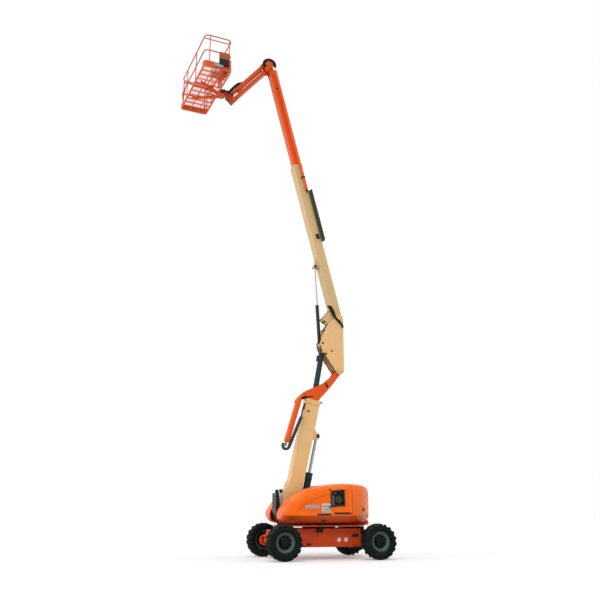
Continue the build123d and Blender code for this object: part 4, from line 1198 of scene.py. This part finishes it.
def makeJibHoses():
    x0, z0 = jibLook["root"]
    bends = [math.radians(angle) for angle in (-35, -8, 22, 52, 82, 112, 142, 172, 200)]
    # outside the root's plates
    rows = ((0.160, 0.200), (0.163, 0.170), (0.166, 0.140), (-0.160, 0.200), (-0.163, 0.170))
    for k, (y, reach) in enumerate(rows):
        points = [(x0 + reach * 1.03 * math.cos(turn), y, z0 + reach * 1.03 * math.sin(turn))
                  for turn in bends]
        addHose("root_hose_%d" % k, "level_bracket", points, 0.0165)
    steps = [-0.050 + 0.025 * k for k in range(5)]
    addHoses("link_hose", "jib_link", steps, [  # along the link's platform end
        (1.08, 0, 0.03), (1.14, 0, 0.062), (1.26, 0, 0.088), (1.44, 0, 0.088), (1.56, 0, 0.086),
        (1.64, 0, 0.074), (1.70, 0, 0.055)], jibLook["hose"], linkPlace)
    addHoses("link_hose_top", "jib_link", steps, [
        (1.14, 0.006, 0.05), (1.20, 0.006, 0.10), (1.32, 0.006, 0.118), (1.46, 0.006, 0.118),
        (1.58, 0.006, 0.114), (1.66, 0.006, 0.10), (1.73, 0.006, 0.07)], jibLook["hose"], linkPlace)
    for k, y in enumerate(steps):
        addHose("bracket_hose_%d" % k, "platform_bracket", [
            (2.60, y, 13.085), (2.68, y, 13.068), (2.75, y, 13.035), (2.82, y * 0.9, 13.062),
            (2.88, y * 0.7, 13.085), (2.93, y * 0.5, 13.07)], jibLook["hose"])


makeJibTrim()
makeJibHoses()
print("jib done")


# ---- plates, lamps and vents that follow the curved covers
def skinOf(name):
    bpy.context.view_layer.update()
    return BVHTree.FromObject(bpy.data.objects[name], bpy.context.evaluated_depsgraph_get())


# A thin sheet laid on a cover: a grid of points across x and z, dropped onto it from the side.
def addDecal(name, skin, body, hand, look, xs, zs, lift=0.002, columns=14, rows=5):
    mesh = bmesh.new()
    grid = []
    for j in range(rows + 1):
        z = zs[0] + (zs[1] - zs[0]) * j / rows
        line = []
        for i in range(columns + 1):
            x = xs[0] + (xs[1] - xs[0]) * i / columns
            spot = skin.ray_cast(Vector((x, hand * 1.6, z)), Vector((0, -hand, 0)))[0]
            line.append(mesh.verts.new((x, spot.y + hand * lift, z)))
        grid.append(line)
    for low, high in zip(grid, grid[1:]):
        for a, b, c, d in zip(low, low[1:], high[1:], high):
            mesh.faces.new((a, b, c, d) if hand < 0 else (d, c, b, a))
    piece = objectOf(mesh, name, look)
    wall = piece.modifiers.new("wall", "SOLIDIFY")
    wall.thickness, wall.offset = 0.0012, 0
    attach(piece, body)


decals = [  # name, finish, x range, z range, lift
    ("panel_white", "whiteVinyl", (0.06, 0.28), (1.12, 1.33), 0.002),
    ("stripe_grey", "greyVinyl", (0.33, 0.71), (1.215, 1.295), 0.002),
    ("strip_black", "guardPaint", (0.05, 0.41), (1.05, 1.095), 0.002),
    ("strip_dark", "guardPaint", (-0.46, -0.03), (1.075, 1.125), 0.002),
]
for k in range(5):  # lines on the white panel, from the top down
    low = 1.290 - 0.038 * k
    decals.append(("panel_line_%d" % k, ("greyVinyl", "guardPaint")[k % 2], (0.075, 0.265),
                   (low, low + 0.018), 0.0035))


def makeDecals():
    for side, hand in hands.items():
        skin = skinOf("hood_%s_shell" % side)
        for name, *row in decals:
            addDecal("%s_%s" % (name, side), skin, "hood_" + side, hand, *row)
    for k in range(9):  # louvres over the engine, on the right hood
        z = 1.16 + 0.045 * k
        addDecal("louvre_%d" % k, skin, "hood_right", -1, "guardPaint", (-0.40, -0.12), (z, z + 0.016),
                 0.004, 8, 2)


# A round part standing on a cover where a ray from outside meets it.
def addOnSkin(mesh, skin, source, aim, profile, sides=28):
    spot, normal = skin.ray_cast(Vector(source), Vector(aim))[:2]
    if normal.dot(Vector(aim)) > 0:
        normal = -normal
    addTurned(mesh, towards(spot - normal * 0.002, spot + normal), profile, sides)


def makeTailLamps():
    for side, hand in hands.items():
        skin = skinOf("tail_" + side)
        lamp, ring, plugs, amber = newMeshes(4)
        rear, level, inward = -1.7, 1.06, (0, -hand, 0)
        addOnSkin(lamp, skin, (-0.90, hand * 1.6, 1.08), inward,
                  [(0.036, 0), (0.036, 0.012), (0.028, 0.020), (0, 0.023)])
        addOnSkin(ring, skin, (-0.90, hand * 1.6, 1.08), inward,
                  [(0.047, 0), (0.047, 0.008), (0.037, 0.012)])
        addOnSkin(plugs, skin, (-0.90, hand * 1.6, 1.19), inward,
                  [(0.050, 0), (0.050, 0.014), (0.034, 0.024), (0, 0.026)], 6)
        for mesh, y in ((amber, 0.45), (lamp, 0.56)):
            source = (rear, hand * y, level)
            lens = [(0.044, 0), (0.044, 0.014), (0.030, 0.024), (0, 0.027)]
            addOnSkin(mesh, skin, source, (1, 0, 0), lens)
            addOnSkin(ring, skin, source, (1, 0, 0), [(0.055, 0), (0.055, 0.009), (0.046, 0.013)])
        for y, z in ((0.42, 1.55), (0.42, 1.25), (0.75, 1.50), (0.75, 1.20), (0.75, 0.95)):
            source = (rear, hand * y, z)
            plug = [(0.020, 0), (0.020, 0.006), (0.012, 0.009), (0, 0.009)]
            addOnSkin(plugs, skin, source, (1, 0, 0), plug, 16)
        finishPiece(lamp, "tail_lamps_" + side, "turntable", "redLens")
        finishPiece(amber, "turn_lamp_" + side, "turntable", "amberLens")
        finishPiece(ring, "lamp_rings_" + side, "turntable", "greyVinyl")
        finishPiece(plugs, "tail_plugs_" + side, "turntable", "guardPaint", 0.001)


def makeCoverFittings():
    eyes, valves = newMeshes(2)
    outline = [(-1.20, 0.93), (-1.10, 0.93), (-1.10, 0.99), (-1.125, 1.02), (-1.175, 1.02), (-1.20, 0.99)]
    for y in (-0.22, 0.22):
        addPlate(eyes, ground, outline, y - 0.012, y + 0.012)
    finishPiece(eyes, "tail_eyes", "turntable", "darkSteel", 0.003)
    for side, hand in hands.items():
        latch = bmesh.new()
        handle = [(0.014, 0), (0.017, 0.02), (0.017, 0.115), (0.010, 0.13), (0, 0.132)]
        addTurned(latch, towards((0.20, hand * 1.02, 0.93), (0.232, hand * 1.035, 0.80)), handle, 14)
        addBlocks(latch, ground, (0.165, 0.265, hand * 0.99, hand * 1.04, 0.915, 0.945))
        finishPiece(latch, "hood_latch_" + side, "hood_" + side, "blackPlastic", 0.003)
    addBlocks(valves, ground, (0.13, 0.29, 0.684, 0.750, 0.648, 0.735))  # on the frame's left side
    for x in (0.17, 0.25):
        addRod(valves, (x, 0.745, 0.69), (x, 0.775, 0.69), 0.018, 16, 0.003)
    finishPiece(valves, "valve_block", "chassis", "blackPlastic", 0.005)


makeDecals()
makeTailLamps()
makeCoverFittings()
print("covers done")

# ---- platform; x runs out from the turn axis, y along the deck, z up from the floor's underside
deck = dict(midX=0.496, reachX=0.38, reachY=1.223, mesh=0.046, wire=0.0014, tube=0.0145)
# the posts' middle and how far out they stand
midX, reachX, reachY = deck["midX"], deck["reachX"], deck["reachY"]


def makeDeck():
    grating, collars, bolts = newMeshes(3)
    pitch, wire = deck["mesh"], deck["wire"]
    for x in (midX + (k - 8) * pitch for k in range(17)):
        addBlocks(grating, deckPlace, (x - wire, x + wire, -1.215, 1.215, 0.018, 0.0255))
    for y in ((k - 26) * pitch for k in range(53)):
        addBlocks(grating, deckPlace, (midX - 0.38, midX + 0.38, y - wire, y + wire, 0.020, 0.0265))
    finishPiece(grating, "deck_mesh", "platform", "shadedOrangePaint")
    posts = [(i, j) for i in both for j in (-0.5, 0.26)] + [(-1, -0.95), (0.64, 1), (-0.84, 1)]
    spots = [(midX + i * reachX, j * reachY, 0) for i, j in posts]
    addStuds(collars, deckPlace, spots, (0, 0, 1), [(0.021, 0.044), (0.021, 0.10), (0.0145, 0.106)], 20)
    for z in (0.52, 1.0):
        addStuds(collars, deckPlace, spots, (0, 0, 1),
                 [(0.0145, z - 0.030), (0.019, z - 0.016), (0.019, z - 0.010)], 20)
    for k in both:
        spots = [(midX + k * 0.397, j * 0.218 + 0.109 * (j < 5), 0.045) for j in range(-5, 6)]
        addBolts(bolts, deckPlace, spots, (0, 0, 1), 0.007)
        addBolts(bolts, deckPlace, [(midX + i * 0.25, k * 1.2455, 0.11) for i in both], (0, k, 0), 0.007)
        arm = deckPlace @ Matrix.Rotation(math.radians(k * 31.5), 4, "Z")  # ribs under the two arms
        rib = [(0.10, -0.082), (0.80, -0.070), (0.80, -0.060), (0.10, -0.060)]
        addPlate(collars, arm, rib, -0.022, 0.022)
    addBolts(bolts, deckPlace, [(x, y, -0.062) for x, y in ringOf(0.082, 8)], (0, 0, -1), 0.009)
    finishPiece(collars, "deck_joints", "platform", "railPaint")
    finishPiece(bolts, "deck_bolts_top", "platform", "darkSteel")


def makeBars():
    place = deckPlace @ Matrix.Translation((midX, 0, 0))
    bend = [(0.380, 1.02, 0.995), (0.380, 1.09, 0.99), (0.380, 1.118, 0.955), (0.33, 1.122, 0.945)]
    points = [(-x, y, z) for x, y, z in bend] + [(0, 1.122, 0.945)] + bend[::-1]
    addHose("end_bar", "platform", points, deck["tube"], "railPaint", place)
    addHose("rail_loop", "platform", [
        (0.380, -1.13, 0.52), (0.380, -1.19, 0.515), (0.372, -1.205, 0.46), (0.36, -1.205, 0.38),
        (0.372, -1.19, 0.32), (0.380, -1.13, 0.30), (0.380, -1.05, 0.32), (0.380, -0.95, 0.40),
        (0.380, -0.86, 0.50), (0.380, -0.80, 0.52),
    ], deck["tube"], "railPaint", place)


# the console's sloping panel: its middle, and the direction it faces
panelLook = dict(x=0.021, y=0.09, z=0.9125, out=(0.717, 0, 0.697))
stickProfile = [
    (0.040, 0), (0.036, 0.012), (0.028, 0.018), (0.030, 0.024), (0.018, 0.032), (0.010, 0.036),
    (0.009, 0.070), (0.016, 0.082), (0.017, 0.105), (0.010, 0.118), (0, 0.120),
]


def makeConsole():
    body, cover, sheet, sticks, button = newMeshes(5)
    x, y, z, out = panelLook.values()
    outline = [(-0.155, 0.68), (0.072, 0.68), (0.072, 0.86), (-0.03, 0.965), (-0.155, 0.965)]
    addPlate(body, deckPlace, outline, y - 0.24, y + 0.24)
    ends = [(-0.165, 0.80), (-0.06, 0.80), (-0.02, 0.90), (-0.02, 0.985), (-0.165, 0.985)]
    for outline, y0, y1 in (  # bent sheet over the console's back and top, and its two ends
        ([(-0.165, 0.76), (-0.158, 0.76), (-0.158, 0.975), (-0.165, 0.985)], -0.07, 0.35),
        ([(-0.165, 0.968), (-0.02, 0.968), (-0.012, 0.975), (-0.165, 0.985)], -0.07, 0.35),
        (ends, 0.351, 0.359), (ends, -0.079, -0.071),
    ):
        addPlate(cover, deckPlace, outline, y0, y1)
    # it carries the console on the inner rails
    addBlocks(sheet, deckPlace, (0.073, 0.082, -0.12, 0.30, 0.24, 0.70))
    addBlocks(sheet, deckPlace, *((0.03, 0.075, edge, edge + 0.008, 0.30, 0.70) for edge in (-0.12, 0.292)))
    hooks = [(across, level) for across in (-0.06, 0.22) for level in (0.495, 0.955)]
    addBlocks(sheet, deckPlace, *((0.072, 0.120, a, a + 0.04, level, level + 0.022) for a, level in hooks))
    addStuds(sticks, deckPlace, [(x, y + across, z) for across in (-0.16, 0.17)], out, stickProfile)
    switches = [(x - row, y - 0.10 + 0.033 * k, z + row * 1.03) for k in range(7) for row in (-0.02, 0.022)]
    addStuds(sticks, deckPlace, switches, out, [(0.009, 0), (0.009, 0.006), (0.004, 0.008), (0.003, 0.024),
                                                (0, 0.026)], 12)
    addStuds(button, deckPlace, [(-0.02, y, 0.955)], out,
             [(0.018, 0), (0.018, 0.014), (0.028, 0.018), (0.028, 0.028), (0.018, 0.036), (0, 0.037)])
    finishPiece(body, "console_body", "platform", "blackPlastic", 0.014, 35, "platform_console")
    finishPiece(cover, "console_cover", "platform", "orangePaint", 0.002, 35, "platform_console")
    finishPiece(sheet, "console_sheet", "platform", "bracketPaint", 0.001, 35, "platform_console")
    finishPiece(sticks, "console_sticks", "platform", "padRubber")
    finishPiece(button, "stop_button", "platform", "redLens")
    addHose("handle_loop", "platform", [
        (-0.10, -0.15, 0.80), (-0.10, -0.19, 0.80), (-0.10, -0.235, 0.81), (-0.10, -0.24, 0.88),
        (-0.10, -0.235, 0.95), (-0.10, -0.19, 0.96), (-0.10, -0.15, 0.96)], 0.010, "railPaint", deckPlace)
    addHoses("console_cable", "platform", (0.02, 0.06, 0.10, 0.14), [  # down towards the drive
        (0.0, 0, 0.69), (0.0, 0, 0.62), (0.02, 0, 0.54), (0.045, 0, 0.47), (0.065, 0, 0.44),
        (0.08, 0, 0.43)],
        0.011, deckPlace)


platformBoxes = [  # name, finish, rounding, then rows of x0, x1, y0, y1, z0, z1
    ("tool_tray", "greyVinyl", 0.002, (0.125, 0.32, -0.16, 0.16, 0.62, 0.628),
     (0.125, 0.131, -0.16, 0.16, 0.62, 0.70), (0.314, 0.32, -0.16, 0.16, 0.62, 0.68),
     (0.125, 0.32, -0.16, -0.154, 0.62, 0.68), (0.125, 0.32, 0.154, 0.16, 0.62, 0.68)),
    ("outlet_box", "blackPlastic", 0.010, (0.185, 0.465, 1.232, 1.300, 0.10, 0.48),
     (0.22, 0.43, 1.300, 1.306, 0.13, 0.25)),
    ("outlet_cover", "jibBrown", 0.002, (0.178, 0.462, 1.300, 1.309, 0.29, 0.495),
     (0.178, 0.462, 1.225, 1.309, 0.487, 0.495), (0.178, 0.184, 1.225, 1.305, 0.29, 0.49)),
    ("outlet_tray", "greyVinyl", 0.002, (0.36, 0.60, 1.251, 1.256, 0.03, 0.165),
     (0.36, 0.60, 1.251, 1.296, 0.03, 0.036),
     (0.36, 0.60, 1.290, 1.296, 0.03, 0.10)),
]


def makePlatformTrim():
    for name, look, rounding, *rows in platformBoxes:
        mesh = bmesh.new()
        addBlocks(mesh, deckPlace, *rows)
        finishPiece(mesh, name, "platform", look, rounding)
    pedal, latch = newMeshes(2)
    addBlocks(pedal, deckPlace, (0.30, 0.50, 0.02, 0.20, 0.027, 0.040))
    addPlate(pedal, deckPlace, [(0.31, 0.04), (0.49, 0.04), (0.49, 0.075), (0.31, 0.11)], 0.04, 0.18)
    finishPiece(pedal, "foot_switch", "platform", "blackPlastic", 0.006)
    addStuds(latch, deckPlace, [(midX - 0.336, -reachY, z) for z in (0.22, 0.86)], (0, 0, 1),
             [(0.018, -0.04), (0.023, -0.036), (0.023, 0.036), (0.018, 0.04)], 20)
    addBlocks(latch, deckPlace, (midX + 0.318, midX + 0.342, -reachY - 0.020, -reachY + 0.016, 0.51, 0.59))
    addStuds(latch, deckPlace, [(midX + 0.330, -reachY - 0.020, 0.55)], (0, -1, 0),
             [(0.010, 0), (0.010, 0.010), (0.016, 0.012), (0.016, 0.020), (0, 0.022)], 16)
    finishPiece(latch, "gate_latch", "gate", "darkSteel", 0.001)


makeDeck()
makeBars()
makeConsole()
makePlatformTrim()
print("platform done")
